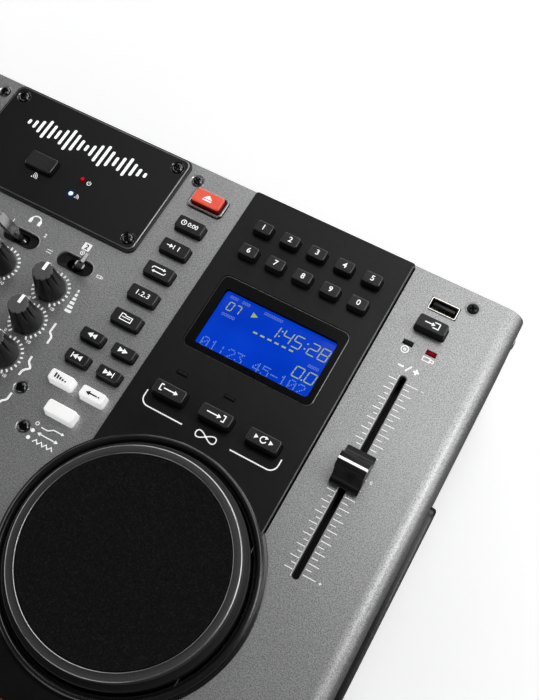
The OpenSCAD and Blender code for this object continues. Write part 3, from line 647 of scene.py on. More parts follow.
def mark_list(i):
    for k, t in enumerate("123"):
        i.num(t, -2.9 + 2.9 * k, 0, 2.5)
    i.dot(-1.45, -0.85, 0.28)
    i.dot(1.45, -0.85, 0.28)

def mark_folder(i):
    i.line([(-2.9, -1.5), (-2.9, 1.5), (-1.2, 1.5), (-0.6, 0.95), (2.9, 0.95), (2.9, -1.5)], 0.46, True)
    i.bar(-2.2, -0.2, 2.2, 0.2)

def mark_double(i, way, stop=False):
    s = 1 if way > 0 else -1
    tri(i, -1.15 * s, 0, 2.3 * s, 2.5)
    tri(i, 1.0 * s, 0, 2.3 * s, 2.5)
    if stop:
        i.bar(min(2.15 * s, 2.55 * s), -1.3, max(2.15 * s, 2.55 * s), 1.3)

def mark_source(i):
    i.line([(0.6, 1.35), (3.2, 1.35), (3.2, -1.35), (0.6, -1.35)], 0.5)
    i.bar(-3.4, -0.25, 0.0, 0.25)
    tri(i, 0.6, 0, 1.6, 2.0)

def mark_slow(i):
    for k, h in enumerate((2.0, 1.6, 1.2, 0.85, 0.5)):
        x = -3.0 + 1.45 * k
        i.bar(x - 0.46, -1.1, x + 0.46, -1.0 + 1.2 * h)

def mark_reverse(i):
    tri(i, -2.4, 0, -2.3, 2.3)
    i.bar(-1.5, -0.36, 2.6, 0.36)
    i.bar(3.0, -0.36, 3.9, 0.36)

def mark_loop_in(i):
    i.line([(-3.0, 1.35), (-4.2, 1.35), (-4.2, -1.35), (-3.0, -1.35)], 0.5)
    i.bar(-2.6, -0.25, 2.6, 0.25)
    tri(i, 3.3, 0, 1.7, 2.1)

def mark_loop_out(i):
    i.bar(-4.2, -0.25, 1.0, 0.25)
    tri(i, 1.7, 0, 1.7, 2.1)
    i.line([(3.0, 1.35), (4.2, 1.35), (4.2, -1.35), (3.0, -1.35)], 0.5)

def mark_again(i):
    i.line(arc(0, 0, 1.35, 60, 345, 20), 0.5)
    tri(i, 1.15, 1.15, 1.3, 1.5)
    tri(i, 3.6, 0, 1.7, 2.1)
    tri(i, -3.2, 0, 1.7, 2.1)

def mark_eject(i):
    i.fill([(-2.3, -0.35), (2.3, -0.35), (0, 1.75)])
    i.bar(-2.3, -1.5, 2.3, -0.8)

def mark_play(i):
    tri(i, -2.2, 0, 4.2, 5.0)
    i.bar(1.4, -2.4, 2.7, 2.4)
    i.bar(3.7, -2.4, 5.0, 2.4)

def mark_cue(i):
    i.bar(-3.2, -2.4, -1.9, 2.4)
    tri(i, 0.9, 0, -4.2, 5.0)

def mark_waves(i):
    i.dot(-1.9, -1.0, 0.42)
    for r in (1.4, 2.4, 3.4):
        i.line(arc(-1.9, -1.0, r, -8, 82, 8), 0.42)

def mark_power(i):
    i.line(arc(0, 0, 1.05, 125, 415, 16), 0.36)
    i.bar(-0.18, 0.1, 0.18, 1.35)

def mark_phones(i):
    i.line(arc(0, -0.2, 1.9, 0, 180, 14), 0.5)
    i.fill([(-2.4, -1.5), (-1.2, -1.5), (-1.2, 0.2), (-2.4, 0.2)])
    i.fill([(1.2, -1.5), (2.4, -1.5), (2.4, 0.2), (1.2, 0.2)])

def mark_level(i):
    for k in range(6):
        h = 0.7 + 0.4 * k
        i.bar(-4.6 + 1.75 * k, -1.3, -3.5 + 1.75 * k, -1.3 + h)

def mark_high(i):
    i.line([(-4.2, -0.8), (-0.6, -0.8)] + arc(-0.6, 0.1, 0.9, -90, -45, 4)[1:] +
           [(0.9, 0.5)] + [(1.5, 0.9), (4.2, 0.9)], 0.8)

def mark_mid(i):
    i.line([(-4.2, -0.9)] + [(x, -0.9 + 2.0 * math.exp(-(x / 1.35) ** 2)) for x in
                              [-3.0 + 0.4 * k for k in range(16)]] + [(4.2, -0.9)], 0.8)

def mark_low(i):
    i.line([(4.2, -0.8), (0.6, -0.8), (0.0, -0.55), (-0.9, 0.5), (-1.5, 0.9), (-4.2, 0.9)], 0.8)

def mark_disc(i):
    i.ring(0, 0, 1.35, 0.42)
    i.ring(0, 0, 0.42, 0.34, 12)

def mark_stick(i):
    i.line([(-2.0, -0.8), (0.8, -0.8), (0.8, 0.8), (-2.0, 0.8)], 0.4, True)
    i.line([(0.8, -0.5), (2.1, -0.5), (2.1, 0.5), (0.8, 0.5)], 0.34)


# ------------------------------------------------------------------- parts

def keycap(b, x, y, w, d, r, foot, top, mi=0, taper=0.14, edge=0.42, dish=0.0, sides=None):
    """A moulded key: flange under the panel, tapered skirt, rounded shoulder, flat top."""
    rings = []
    def ring(inset, z, rad):
        rings.append([(x + px, y + py, z) for px, py in rrect(w - 2 * inset, d - 2 * inset, rad, 5)])
    ring(-0.8, foot, r + 0.3)
    ring(-1.0, foot + 0.2, r + 0.4)
    ring(-1.0, foot + 1.2, r + 0.4)
    ring(-0.8, foot + 1.4, r + 0.3)
    ring(0.0, foot + 1.4, r)
    ring(0.0, foot + 3.4, r)
    low = foot + 4.2
    ring(0.0, low, r)
    z_e = top - edge
    ring(taper * 0.5, (low + z_e) / 2, r)
    for k in range(6):
        a = math.radians(90 * k / 5)
        ring(taper + edge * (1 - math.cos(a)), z_e + edge * math.sin(a), max(r - 0.3 * edge * (1 - math.cos(a)), 0.3))
    ring(taper + edge + 0.2, top, max(r - 0.4 * edge, 0.3))
    if dish:
        ring(taper + edge + 1.2, top - dish, max(r - 0.4 * edge, 0.3))
    start = len(b.f)
    b.add(loft(rings), mi)
    if sides:
        # the skirt and the shoulder have materials of their own: the darker skirts are painted shade, and the lighter
        # glossy shoulders of the black keys are partly painted highlight
        n = len(rings[0])
        for k in range(13):
            for q in range(n):
                b.m[start + k * n + q] = sides[0] if k < 8 else sides[1]


FN = [(72.6, 115.2 - 14.7 * k) for k in range(5)]
SEARCH = [(63.3, 41.1), (80.9, 41.1), (63.3, 28.3), (80.9, 28.3)]
SOURCE = (201.7, 122.1)
EFFECT = [(63.1, 15.6), (80.4, 15.6)]
MODE = (71.8, 1.9)
EJECT = (72.7, 132.6)
USB = (202.3, 135.0)

for side, s in (("left", -1), ("right", 1)):
    # function, search and source keys
    b = Build()
    ink = Ink(b, T + 3.9, 1)
    for (x, y), mark in zip(FN, (mark_clock, mark_single, mark_repeat, mark_list, mark_folder)):
        keycap(b, s * x, y, 15.4, 7.7, 1.0, U - 3.2, T + 3.9, 0, 0.30, 0.36, sides=(2, 3))
        mark(ink.at(s * x, y, 0, 1.05))
    pair = [(-1, False), (1, False), (-1, True), (1, True)]
    ink = Ink(b, T + 4.2, 1)
    for (x, y), (way, stop) in zip(SEARCH, pair):
        keycap(b, s * x, y, 12.2, 6.2, 1.0, U - 3.2, T + 4.2, 0, 0.30, 0.36, sides=(2, 3))
        mark_double(ink.at(s * x, y, 0, 1.1), way * s, stop)
    keycap(b, s * SOURCE[0], SOURCE[1], 15.4, 7.4, 1.0, U - 3.2, T + 5.6, 0, 0.40, 0.36, sides=(2, 3))
    mark_source(Ink(b, T + 5.6, 1).at(s * SOURCE[0], SOURCE[1], 0, 1.1))
    b.done(f"function_key_caps_{side}", f"functions_{side}", ["key", "ink", "key_side", "key_edge"], stands_for=[f"function_keys_{side}"])

    # white effect and mode keys
    b = Build()
    ink = Ink(b, T + 4.8, 1)
    for (x, y), mark in zip(EFFECT, (mark_slow, mark_reverse)):
        keycap(b, s * x, y, 12.8, 6.0, 1.1, U - 3.2, T + 4.8, 0, 0.22, 0.55)
        mark(ink.at(s * x, y))
    keycap(b, s * MODE[0], MODE[1], 15.6, 6.8, 1.3, U - 3.2, T + 4.6, 0, 0.22, 0.55)
    b.done(f"effect_key_caps_{side}", f"effects_{side}", ["key_white", "ink_dark"], stands_for=[f"effect_keys_{side}"])

    # number keys, the same order on both decks
    b = Build()
    ink = Ink(b, P + 4.4, 1)
    for row, names in ((130.7, "12345"), (115.8, "67890")):
        for k, t in enumerate(names):
            x = s * DX + 15 * (k - 2) + 0.2
            keycap(b, x, row, 9.7, 6.6, 1.1, T - 3.2, P + 4.4, 0, 0.30, 0.42, sides=(2, 3))
            ink.at(x, row).num(t, 0, 0.1, 3.0, 0.016)
    b.done(f"number_key_caps_{side}", f"numbers_{side}", ["key", "ink", "key_side", "key_edge"], stands_for=[f"number_keys_{side}"])

    # loop keys
    b = Build()
    ink = Ink(b, P + 5.4, 1)
    for k, mark in zip((-1, 0, 1), (mark_loop_in, mark_loop_out, mark_again)):
        x = s * DX + 24.7 * k
        keycap(b, x, 33.8, 16.5, 7.0, 1.0, T - 3.2, P + 5.4, 0, 0.34, 0.36, sides=(2, 3))
        mark(ink.at(x, 33.8, 0, 1.1))
    b.done(f"loop_key_caps_{side}", f"loops_{side}", ["key", "ink", "key_side", "key_edge"], stands_for=[f"loop_keys_{side}"])

    # play and cue
    for which, dx, mark, m in (("play", 20, mark_play, "key_green"), ("cue", -20, mark_cue, "key_amber")):
        b = Build()
        x = s * DX + dx
        keycap(b, x, -122, 30, 18, 3, T - 3.2, P + 4, 0, 0.3, 0.8, 0.0)
        mark(Ink(b, P + 4, 1).at(x, -122))
        b.done(f"{which}_key_cap_{side}", f"{which}_{side}", [m, "ink"], stands_for=[f"{which}_button_{side}"])

    # lit eject key
    b = Build()
    x, y = s * EJECT[0], EJECT[1]
    keycap(b, x, y, 16.2, 8.2, 1.3, U - 3.2, T + 4.2, 0, 0.15, 0.62, sides=(2, 0))
    mark_eject(Ink(b, T + 4.2, 1).at(x, y, 0, 1.1))
    b.done(f"eject_key_cap_{side}", f"eject_{side}", ["key_red", "ink", "key_red_side"], stands_for=[f"eject_button_{side}"])

    # the eject key's frame: a black wall, matte near-black as painted shade, under a flat silver top
    b = Build()
    def frame_ring(w, d, r, z, k=0.0):
        return [(x + px, y - 0.2 * (1 - k) + py, z) for px, py in rrect(w, d, r, 6)]
    rings = [frame_ring(20.0, 12.0, 2.5, T - 0.1), frame_ring(20.0, 12.0, 2.5, T + 0.95), frame_ring(19.96, 11.96, 2.5, T + 1.1)]
    inner = [frame_ring(19.82, 11.82, 2.45, T + 1.26), frame_ring(19.5, 11.5, 2.3, T + 1.42), frame_ring(19.1, 11.1, 2.1, T + 1.48), frame_ring(18.8, 10.8, 2.0, T + 1.48),
             frame_ring(17.6, 9.6, 1.8, T + 1.48, 1.0), frame_ring(17.35, 9.35, 1.7, T + 1.42, 1.0), frame_ring(17.2, 9.2, 1.65, T + 1.25, 1.0)]
    well = [frame_ring(17.15, 9.15, 1.65, T + 1.0, 1.0), frame_ring(17.1, 9.1, 1.65, T - 0.1, 1.0)]
    v, f = loft(rings + inner + well, closed=True)
    n = len(rings[0])
    start = len(b.f)
    b.add((v, f), 0)
    for k in range(len(rings) - 1, len(rings) + len(inner) - 1):
        for q in range(n):
            b.m[start + k * n + q] = 1
    b.done(f"eject_frame_{side}", "console", ["cover", "chrome"])


# wireless button on the centre plate
b = Build()
keycap(b, -14.2, 111, 16, 9, 1.2, U - 3.2, C + 3, sides=(1, 2))
b.done("wireless_key_cap", "wireless", ["key", "key_side", "key_edge"], stands_for=["wireless_button"])


# ------------------------------------------------------------------- knobs

def knob_shape():
    """A tapered grip, fluted on its upper half, flaring to a smooth skirt."""
    seg = 160
    prof = [(3.0, -11.0, 0), (3.0, 0.4, 0), (6.9, 0.6, 0), (7.42, 0.75, 0), (7.54, 1.5, 0), (7.46, 2.3, 0), (7.25, 3.6, 0),
            (7.0, 5.0, 0.0), (6.72, 6.6, 0.0), (6.44, 8.2, 0.14), (6.22, 9.6, 0.40), (6.0, 11.2, 0.68), (5.8, 12.8, 0.88), (5.62, 14.4, 1.0),
            (5.46, 15.8, 1.04), (5.36, 16.7, 1.0), (5.30, 17.0, 0.96), (5.27, 17.15, 0.92), (5.2, 17.5, 0.80), (5.08, 17.85, 0.62),
            (4.86, 18.12, 0.36), (4.55, 18.27, 0.12), (4.2, 18.3, 0.0), (3.9, 18.3, 0.0)]
    rings = []
    for r, z, depth in prof:
        ring = []
        for i in range(seg):
            a = 2 * math.pi * i / seg
            g = max(0.0, math.cos(10 * a + math.pi)) ** 4
            rr = r - depth * g
            ring.append((rr * math.sin(a), rr * math.cos(a), z))
        rings.append(ring)
    return loft(rings), seg, len(prof)

KNOB, KSEG, KPROF = knob_shape()

def knob(name, node, body, x, y):
    b = Build()
    start = len(b.f)
    b.add(KNOB, 0, lambda p: (x + p[0], y + p[1], T + p[2]))
    # the lowest band of the skirt is matte black as painted shade
    for k in range(0, 4):
        for q in range(KSEG):
            b.m[start + k * KSEG + q] = 3
    for k in range(KPROF - 5, KPROF - 1):
        for q in range(KSEG):
            b.m[start + k * KSEG + q] = 2
    b.m[-1] = 2
    # pointer: on top from the middle to the back edge, then down the grip
    path = [(0.5, 18.3), (3.9, 18.3), (4.55, 18.27), (4.86, 18.12), (5.08, 17.85), (5.2, 17.5), (5.36, 16.7), (5.62, 14.4), (5.9, 12.0)]
    half, lift = 0.78, 0.16
    pts = []
    for k, (r, z) in enumerate(path):
        p0, p1 = path[max(k - 1, 0)], path[min(k + 1, len(path) - 1)]
        dr, dz = p1[0] - p0[0], p1[1] - p0[1]
        l = math.hypot(dr, dz)
        nr, nz = -dz / l, dr / l
        o = 0.3 if k > 5 else 0.05
        pts.append([(-half, r - nr * o, z - nz * o), (half, r - nr * o, z - nz * o),
                    (half, r + nr * lift, z + nz * lift), (-half, r + nr * lift, z + nz * lift)])
    b.add(loft(pts), 1, lambda p: (x + p[0], y + p[1], T + p[2]))
    return b.done(name, body, ["knob", "ink", "knob_top", "cover"], 40, [node])

KNOBS = []
for k, nm in enumerate(("level", "treble", "mid", "bass")):
    for side, s in (("left", -1), ("right", 1)):
        KNOBS.append((f"{nm}_knob_{side}", s * 30.0, 53.6 - 19.85 * k, nm))
for k, nm in enumerate(("mic", "master", "phones")):
    KNOBS.append((f"{nm}_knob", 0.0, 53.6 - 19.85 * k, nm))
for node, x, y, kind in KNOBS:
    knob(node.replace("_knob", "_grip"), node, f"{node}_body", x, y)


# ------------------------------------------------------------------ levers

def lever(name, node, body, x, lean):
    b = Build()
    a = math.radians(lean)
    def at(p):
        px, py, pz = p
        return (x + px * math.cos(a) + pz * math.sin(a), 70.6 + py, T - 5 - px * math.sin(a) + pz * math.cos(a))
    ball = [(0, -3.0)] + [(3.0 * math.cos(math.radians(t)), 3.0 * math.sin(math.radians(t))) for t in range(-75, 50, 15)]
    stem = ball + [(2.06, 2.6), (2.1, 3.2), (2.24, 5.0), (2.48, 8.2), (2.4, 8.7), (0, 8.8)]
    b.add(revolve(stem, 40), 0, at)
    # paddle: square shoulders on the stem, thinner to its tip
    rings = []
    for z, hx, hy in ((7.75, 1.66, 2.5), (7.85, 1.84, 2.68), (8.05, 1.9, 2.75), (14.0, 1.46, 2.75), (20.6, 1.02, 2.75), (20.85, 0.94, 2.67), (20.97, 0.76, 2.48)):
        rings.append([(px, py, z) for px, py in rrect(2 * hx, 2 * hy, 0.3, 4)])
    b.add(loft(rings), 0, at)
    return b.done(name, body, ["lever"], 24, [node])

lever("cue_toggle", "cue_lever", "cue_lever_body", 0.0, -26)
lever("selector_toggle_left", "selector_left", "selector_left_body", -32.4, -26)
lever("selector_toggle_right", "selector_right", "selector_right_body", 32.4, 26)


# ------------------------------------------------------------------ faders

def fader_profile():
    """Side outline of a fader cap, front to back: lip, hollowed front, ridge, stepped back."""
    pts = [(-8.9, 1.1), (-8.9, 2.2), (-8.8, 2.55), (-8.5, 2.8), (-8.05, 2.9)]
    for k in range(1, 9):              # hollow front
        t = k / 8
        pts.append((-8.05 + 4.05 * math.sin(math.radians(78 * t)), 2.9 + 9.0 * (1 - math.cos(math.radians(78 * t)))))
    pts += [(-3.75, 12.6), (-3.55, 13.3), (-3.2, 13.8), (-2.7, 14.0), (2.6, 14.0), (3.1, 13.85), (3.45, 13.4), (3.6, 12.8),
            (4.3, 10.2), (5.4, 7.4), (6.6, 5.4), (7.6, 4.5), (8.4, 4.2), (9.6, 4.05), (10.15, 3.85), (10.45, 3.4), (10.5, 2.8), (10.5, 0.9)]
    return pts

def fader(name, node, body, cx, cy, turn):
    b = Build()
    def at(p):
        px, py, pz = p
        return (cx - py, cy + px, T + pz) if turn else (cx + px, cy + py, T + pz)
    prof = fader_profile()
    mx, mz = 0.0, 5.5
    rings = []
    for x, inset in ((-7.1, 0.55), (-6.98, 0.25), (-6.75, 0.08), (-6.4, 0.0), (6.4, 0.0), (6.75, 0.08), (6.98, 0.25), (7.1, 0.55)):
        kx, kz = 1 - inset / 10.5, 1 - inset / 8.0
        rings.append([(x, mx + (py - mx) * kx, max(mz + (pz - mz) * kz, 0.9 + inset * 0.3)) for py, pz in prof])
    b.add(loft(rings), 0, at)
    # stalk through the slot
    b.add(box_shape((-0.9, -2.8, -9), (0.9, 2.8, 1.6), 0.3), 0, at)
    # index line across the ridge, turned down over both ends
    line = []
    for x, z in ((-7.13, 12.4), (-7.1, 13.75), (-6.85, 13.98), (-6.4, 14.05), (6.4, 14.05), (6.85, 13.98), (7.1, 13.75), (7.13, 12.4)):
        o = 0.35
        line.append([(x, -0.62, z), (x, 0.62, z), (x * (1 - o / 7.1), 0.62, z - o), (x * (1 - o / 7.1), -0.62, z - o)])
    b.add(loft(line), 1, at)
    return b.done(name, body, ["fader", "ink"], 36, [node])

fader("pitch_cap_left", "pitch_fader_left", "pitch_left", -201.2, 41.0, False)
fader("pitch_cap_right", "pitch_fader_right", "pitch_right", 201.2, 41.0, False)
fader("crossfade_cap", "crossfader", "crossfade", 0.0, -118.0, True)


# ------------------------------------------------------------------ screws

def cross_outline(r):
    w, l = r * 0.18, r * 0.60
    return [(w, l), (-w, l), (-w, w), (-l, w), (-l, -w), (-w, -w), (-w, -l), (w, -l), (w, -w), (l, -w), (l, w), (w, w)]


def cross_recess_painted_shade(r, tall=1.0):
    """A matte black filling low in a cross recess, as painted shade."""
    return loft([[(x * k, y * k, z * tall) for x, y in cross_outline(r)] for k, z in ((0.73, 0.5), (0.945, 1.62))])


def cross_screw(r, length, shank=1.5, tall=1.0):
    """A pan-head screw with a cross recess and a plain shank."""
    n = 40
    prof = [(0.0, -length), (shank * 0.84, -length), (shank, -length + 0.4), (shank, -0.02), (r * 0.97, 0.0), (r, 0.08 * tall), (r, 0.5 * tall),
            (r * 0.975, 0.85 * tall), (r * 0.92, 1.2 * tall), (r * 0.84, 1.5 * tall), (r * 0.74, 1.72 * tall), (r * 0.68, 1.8 * tall)]
    v, f = [(0, 0, -length)], []
    rings = prof[1:]
    for pr, z in rings:
        v += [(pr * math.cos(2 * math.pi * i / n), pr * math.sin(2 * math.pi * i / n), z) for i in range(n)]
    for i in range(n):
        j = (i + 1) % n
        f.append((0, 1 + j, 1 + i))
        for k in range(len(rings) - 1):
            a, c = 1 + k * n, 1 + (k + 1) * n
            f.append((a + i, a + j, c + j, c + i))
    top = 1 + (len(rings) - 1) * n
    cross = cross_outline(r)
    deep = [(x * 0.75, y * 0.75) for x, y in cross]
    base = len(v)
    v += [(x, y, 1.84 * tall) for x, y in cross] + [(x, y, 0.6 * tall) for x, y in deep]
    ring_pts = [Vector(v[top + i]) for i in range(n)]
    flat = [[Vector((p.x, p.y, 0)) for p in ring_pts], [Vector((x, y, 0)) for x, y in cross]]
    index = [top + i for i in range(n)] + [base + i for i in range(12)]
    for t in tessellate_polygon(flat):
        f.append(tuple(index[q] for q in t))
    for i in range(12):
        j = (i + 1) % 12
        f.append((base + i, base + j, base + 12 + j, base + 12 + i))
    f.append(tuple(base + 12 + i for i in range(12)))
    return v, f

TOP_SCREWS = [(s * x, y) for s in (-1, 1) for x, y in ((60.8, 141.5), (214.5, 141.5), (214.5, -141.5), (60.8, -141.5),
                                                      (47.2, 3.9), (59.5, -11.4))]
PLATE_SCREWS = [(x, y) for x in (-48.3, 48.3) for y in (94.9, 142.6)]
b = Build()
spin = 17.0
def seat(shape, x, y, z, spin, tip=None, mi=0):
    c, sn = math.cos(math.radians(spin)), math.sin(math.radians(spin))
    def at(p):
        q = (p[0] * c - p[1] * sn, p[0] * sn + p[1] * c, p[2])
        if tip:
            q = tip(q)
        return (x + q[0], y + q[1], z + q[2])
    b.add(shape, mi, at)
for k, (x, y) in enumerate(TOP_SCREWS):
    turn, mi = (spin + 37 * k + 21, 2) if abs(x) > 200 else (spin + 37 * k, 0)
    seat(cross_screw(2.85, 5.2, 1.5, 0.86), x, y, T - 0.8, turn, None, mi)
    seat(cross_recess_painted_shade(2.85, 0.86), x, y, T - 0.8, turn, None, 3)
for k, (x, y) in enumerate(PLATE_SCREWS):
    seat(cross_screw(2.85, 7, 1.5, 0.86), x, y, C - 1.0, spin + 53 * k)
    seat(cross_recess_painted_shade(2.85, 0.86), x, y, C - 1.0, spin + 53 * k, None, 3)
for k, (s, y) in enumerate([(s, y) for s in (-1, 1) for y in (-141, 141)]):
    seat(cross_screw(2.4, 6, 1.2, 0.37), s * 238.5, y, 75, spin + 41 * k, lambda q, s=s: (s * q[2], q[1], -s * q[0]), 1)
for k, (sx, sy) in enumerate([(a, c) for a in (-1, 1) for c in (-1, 1)]):
    seat(cross_screw(3.6, 4.5, 1.8), sx * 205, sy * 118, 5, spin + 29 * k, lambda q: (q[0], -q[1], -q[2]))
b.done("cross_screws", "console", ["screw", "side_screw", "screw_satin", "cover"], 30, ["screws"])

# seats of the screws: dished and smooth, the panel's in a bright metal that is partly painted highlight, or flush and
# painted at the corners
b = Build()
DISH = [(2.93, -0.77), (3.06, -0.63), (3.2, -0.48), (3.34, -0.34), (3.48, -0.20), (3.56, -0.14), (3.62, -0.18), (3.6, -0.3), (3.1, -0.77)]
FLUSH = [(2.88, -0.77), (2.88, -0.06), (2.94, 0.0), (3.1, 0.02), (3.6, 0.02), (3.66, -0.02), (3.6, -0.3), (3.1, -0.77)]
for x, y in TOP_SCREWS:
    prof, mi = (FLUSH, 2) if abs(x) > 200 else (DISH, 0)
    b.add(revolve(prof, 48), mi, lambda p, x=x, y=y: (x + p[0], y + p[1], T + p[2]))
for x, y in PLATE_SCREWS:
    b.add(revolve(DISH, 48), 1, lambda p, x=x, y=y: (x + p[0], y + p[1], C + p[2]))
b.done("screw_seats", "console", ["seat", "seat_dark", "paint"], 40)

# rolled edges round the lever and fader slots; the lever slots' lips are a lighter grey, partly painted highlight
b = Build()
def slot_edge(x, y, w, d, wide=0.5, high=0.16, mi=0):
    def o(k):
        return [(x + px, y + py) for px, py in rrect(w + 2 * k, d + 2 * k, min(w, d) / 2 - 0.01 + k, 12)]
    b.add(hollow_ring([(o(-0.03), T - 1.4), (o(-0.03), T - 0.12), (o(0.05), T + 0.06), (o(0.2), T + high), (o(wide - 0.12), T + 0.7 * high), (o(wide), T - 0.02), (o(wide), T - 0.1),
                       (o(0.0), T - 0.2), (o(0.0), T - 1.4)]), mi)
for x in (-32.4, 0.0, 32.4):
    slot_edge(x, 70.6, 20.4, 8.6, 0.6, 0.18, 1)
for s in (-1, 1):
    slot_edge(s * 201.2, 41.0, 3.6, 107.0, 0.4, 0.12, 1)
slot_edge(0.0, -118.0, 52.0, 3.6, 0.35, 0.10)
b.done("pressed_edges", "console", ["paint", "slot_lip"], 40)

# black dust covers under those slots
b = Build()
def dust_cover(x, y, w, d, hw, hd, z):
    def o(a, c, r):
        return [(x + px, y + py) for px, py in rrect(a, c, r, 8)]
    b.add(hollow_ring([(o(w, d, 1.0), z - 0.5), (o(w, d, 1.0), z), (o(hw + 0.2, hd + 0.2, min(hw, hd) / 2), z), (o(hw, hd, min(hw, hd) / 2), z - 0.1),
                       (o(hw, hd, min(hw, hd) / 2), z - 0.5)]), 0)
for x in (-32.4, 0.0, 32.4):
    dust_cover(x, 70.6, 22.0, 10.4, 9.0, 5.6, T - 1.62)
for s in (-1, 1):
    dust_cover(s * 201.2, 41.0, 6.4, 110.0, 1.95, 106.4, T - 1.62)
dust_cover(0.0, -118.0, 55.0, 6.4, 51.4, 1.95, T - 1.62)
b.done("dust_covers", "console", ["dust"], 40)


# -------------------------------------------------------------- jog wheels

for side, s in (("left", -1), ("right", 1)):
    at = lambda p, s=s: (s * DX + p[0], JOG_Y + p[1], T + p[2])
    b = Build()
    prof = [(0, 7.8), (4.05, 7.8), (4.05, -5), (9, -5), (9, 7.6), (46.4, 7.6), (46.4, -4), (52.7, -4), (53, -3.7), (53, 5.9)]
    prof += [(52.5 + 0.5 * math.cos(math.radians(q)), 6.1 + 0.5 * math.sin(math.radians(q))) for q in (0, 22, 45, 67, 90)]
    step = len(prof)
    prof += [(50.3, 6.6), (50.08, 6.7), (50, 6.95), (50, 11.4), (50, 11.9)]
    edges = [len(prof)]
    prof += [(49.4 + 0.6 * math.cos(math.radians(q)), 12.0 + 0.6 * math.sin(math.radians(q))) for q in (0, 18, 36, 54, 72, 90)]
    edges.append(len(prof) - 1)
    prof += [(49.25, 12.6), (46.5, 12.6)]
    edges.append(len(prof))
    prof += [(46.35 - 0.35 * math.sin(math.radians(q)), 12.25 + 0.35 * math.cos(math.radians(q))) for q in (0, 22, 45, 67, 90)]
    edges.append(len(prof) - 1)
    prof += [(46.0, 12.1), (46.0, 11.4), (0, 11.4)]
    b.add(revolve(prof, 256), 0, at)
    # the lower step is black, both upper edges a bright polished metal that is partly painted highlight
    for k, face in enumerate(b.f):
        q = (max(face) - 1) // 256
        if 7 <= q <= step:
            b.m[k] = 1
        elif edges[0] <= q < edges[1] or edges[2] <= q < edges[3]:
            b.m[k] = 2
    b.done(f"jog_rim_{side}", f"jog_{side}", [f"jog_{side}", "knob", "jog_edge"], 32, [f"jog_wheel_{side}"])
    b = Build()
    prof = [(0, 11.4), (45.7, 11.4), (45.8, 11.5), (45.8, 12.1), (45.72, 12.26), (45.55, 12.36), (45.3, 12.4), (44.9, 12.4), (44.6, 12.37), (44.3, 12.33), (40, 12.32), (0, 12.32)]
    b.add(revolve(prof, 256), 0, at)
    b.done(f"touch_pad_{side}", f"jog_{side}", ["pad"], 50, [f"jog_pad_{side}"])


# gloss bead on the deck panel, round the wheel
b = Build()
for s in (-1, 1):
    at = lambda p, s=s: (s * DX + p[0], JOG_Y + p[1], T + p[2])
    prof = [(54.2, 0.3), (54.2, 1.1), (54.35, 1.24), (55.0, 1.25), (55.13, 1.4), (55.15, 2.3)]
    prof += [(56.9 - 1.75 * math.cos(math.radians(q)), 2.3 + 1.75 * math.sin(math.radians(q))) for q in range(12, 180, 12)]
    prof += [(58.65, 2.3), (58.66, 0.95), (58.8, 0.72), (59.2, 0.60), (59.85, 0.56), (60.12, 0.48), (60.26, 0.34), (60.3, 0.15), (60.3, 0.02), (58.3, 0.02), (58.2, 0.3)]
    b.add(revolve(prof, 256), 0, at)
b.done("jog_beads", "console", ["bead"], 40)


# ------------------------------------------------------------ centre plate

b = Build()
def plate_outline(inset):
    return [(px, 118.75 + py) for px, py in rrect(109.6 - 2 * inset, 61.5 - 2 * inset, 4.5 - 0.6 * inset, 8)]
holes = [(lambda k: [(-14.2 + px, 111 + py) for px, py in rrect(16.7 + 2 * k, 9.7 + 2 * k, 1.55 + k, 5)], 0.12)]
for x, y in ((9.4, 113.0), (8.7, 103.1)):
    holes.append((lambda k, x=x, y=y: disc(x, y, 1.65 + k, 20), 0.12))
for x, y in PLATE_SCREWS:
    holes.append((lambda k, x=x, y=y: disc(x, y, 2.95 + k, 40), 0.93))
edge = [(0, T + 0.75), (0.05, T + 0.92), (0.17, T + 1.04), (0.34, T + 1.1), (0.5, T + 1.1), (0.98, T + 1.1), (1.08, T + 1.14), (1.12, T + 1.3),
        (1.14, T + 1.55), (1.22, T + 1.78), (1.42, T + 1.94), (1.70, C), (1.85, C)]
b.add(sheet_solid(plate_outline, edge, holes, T, C), 0)
# the upper bevel takes a lighter metal as painted highlight, the lower step a dark band
for k, m in ((3, 2), (4, 2), (5, 2), (9, 1), (10, 1), (11, 1)):
    for q in range(36):
        b.m[k * 36 + q] = m
b.done("mixer_plate", "console", ["plate", "plate_edge", "plate_band"], 24, ["centre_plate"])


# rounded lip along each deck panel's outer edge, lighter as a painted highlight, over a black strip that is painted
# shadow in the joint with the grey painted panel
b = Build()
for s in (-1, 1):
    def strip(pts):
        return loft([[(s * (DX + 44.5 + px), y, T + pz) for px, pz in pts] for y in (-148.4, 148.4)])
    b.add(strip([(-0.95, 1.1), (-0.92, 1.22), (-0.78, 1.29), (-0.6, 1.3), (-0.42, 1.26), (-0.3, 1.15), (-0.28, 1.0), (-0.6, 0.9)]), 0)
    b.add(strip([(-0.3, 0.3), (-0.28, 1.14), (-0.1, 1.16), (0.06, 1.05), (0.12, 0.3), (0.62, 0.12), (0.72, 0.02), (-0.2, 0.02)]), 1)
b.done("deck_lips", "console", ["trim", "cover"], 40)


# ------------------------------------------------------------ side handles

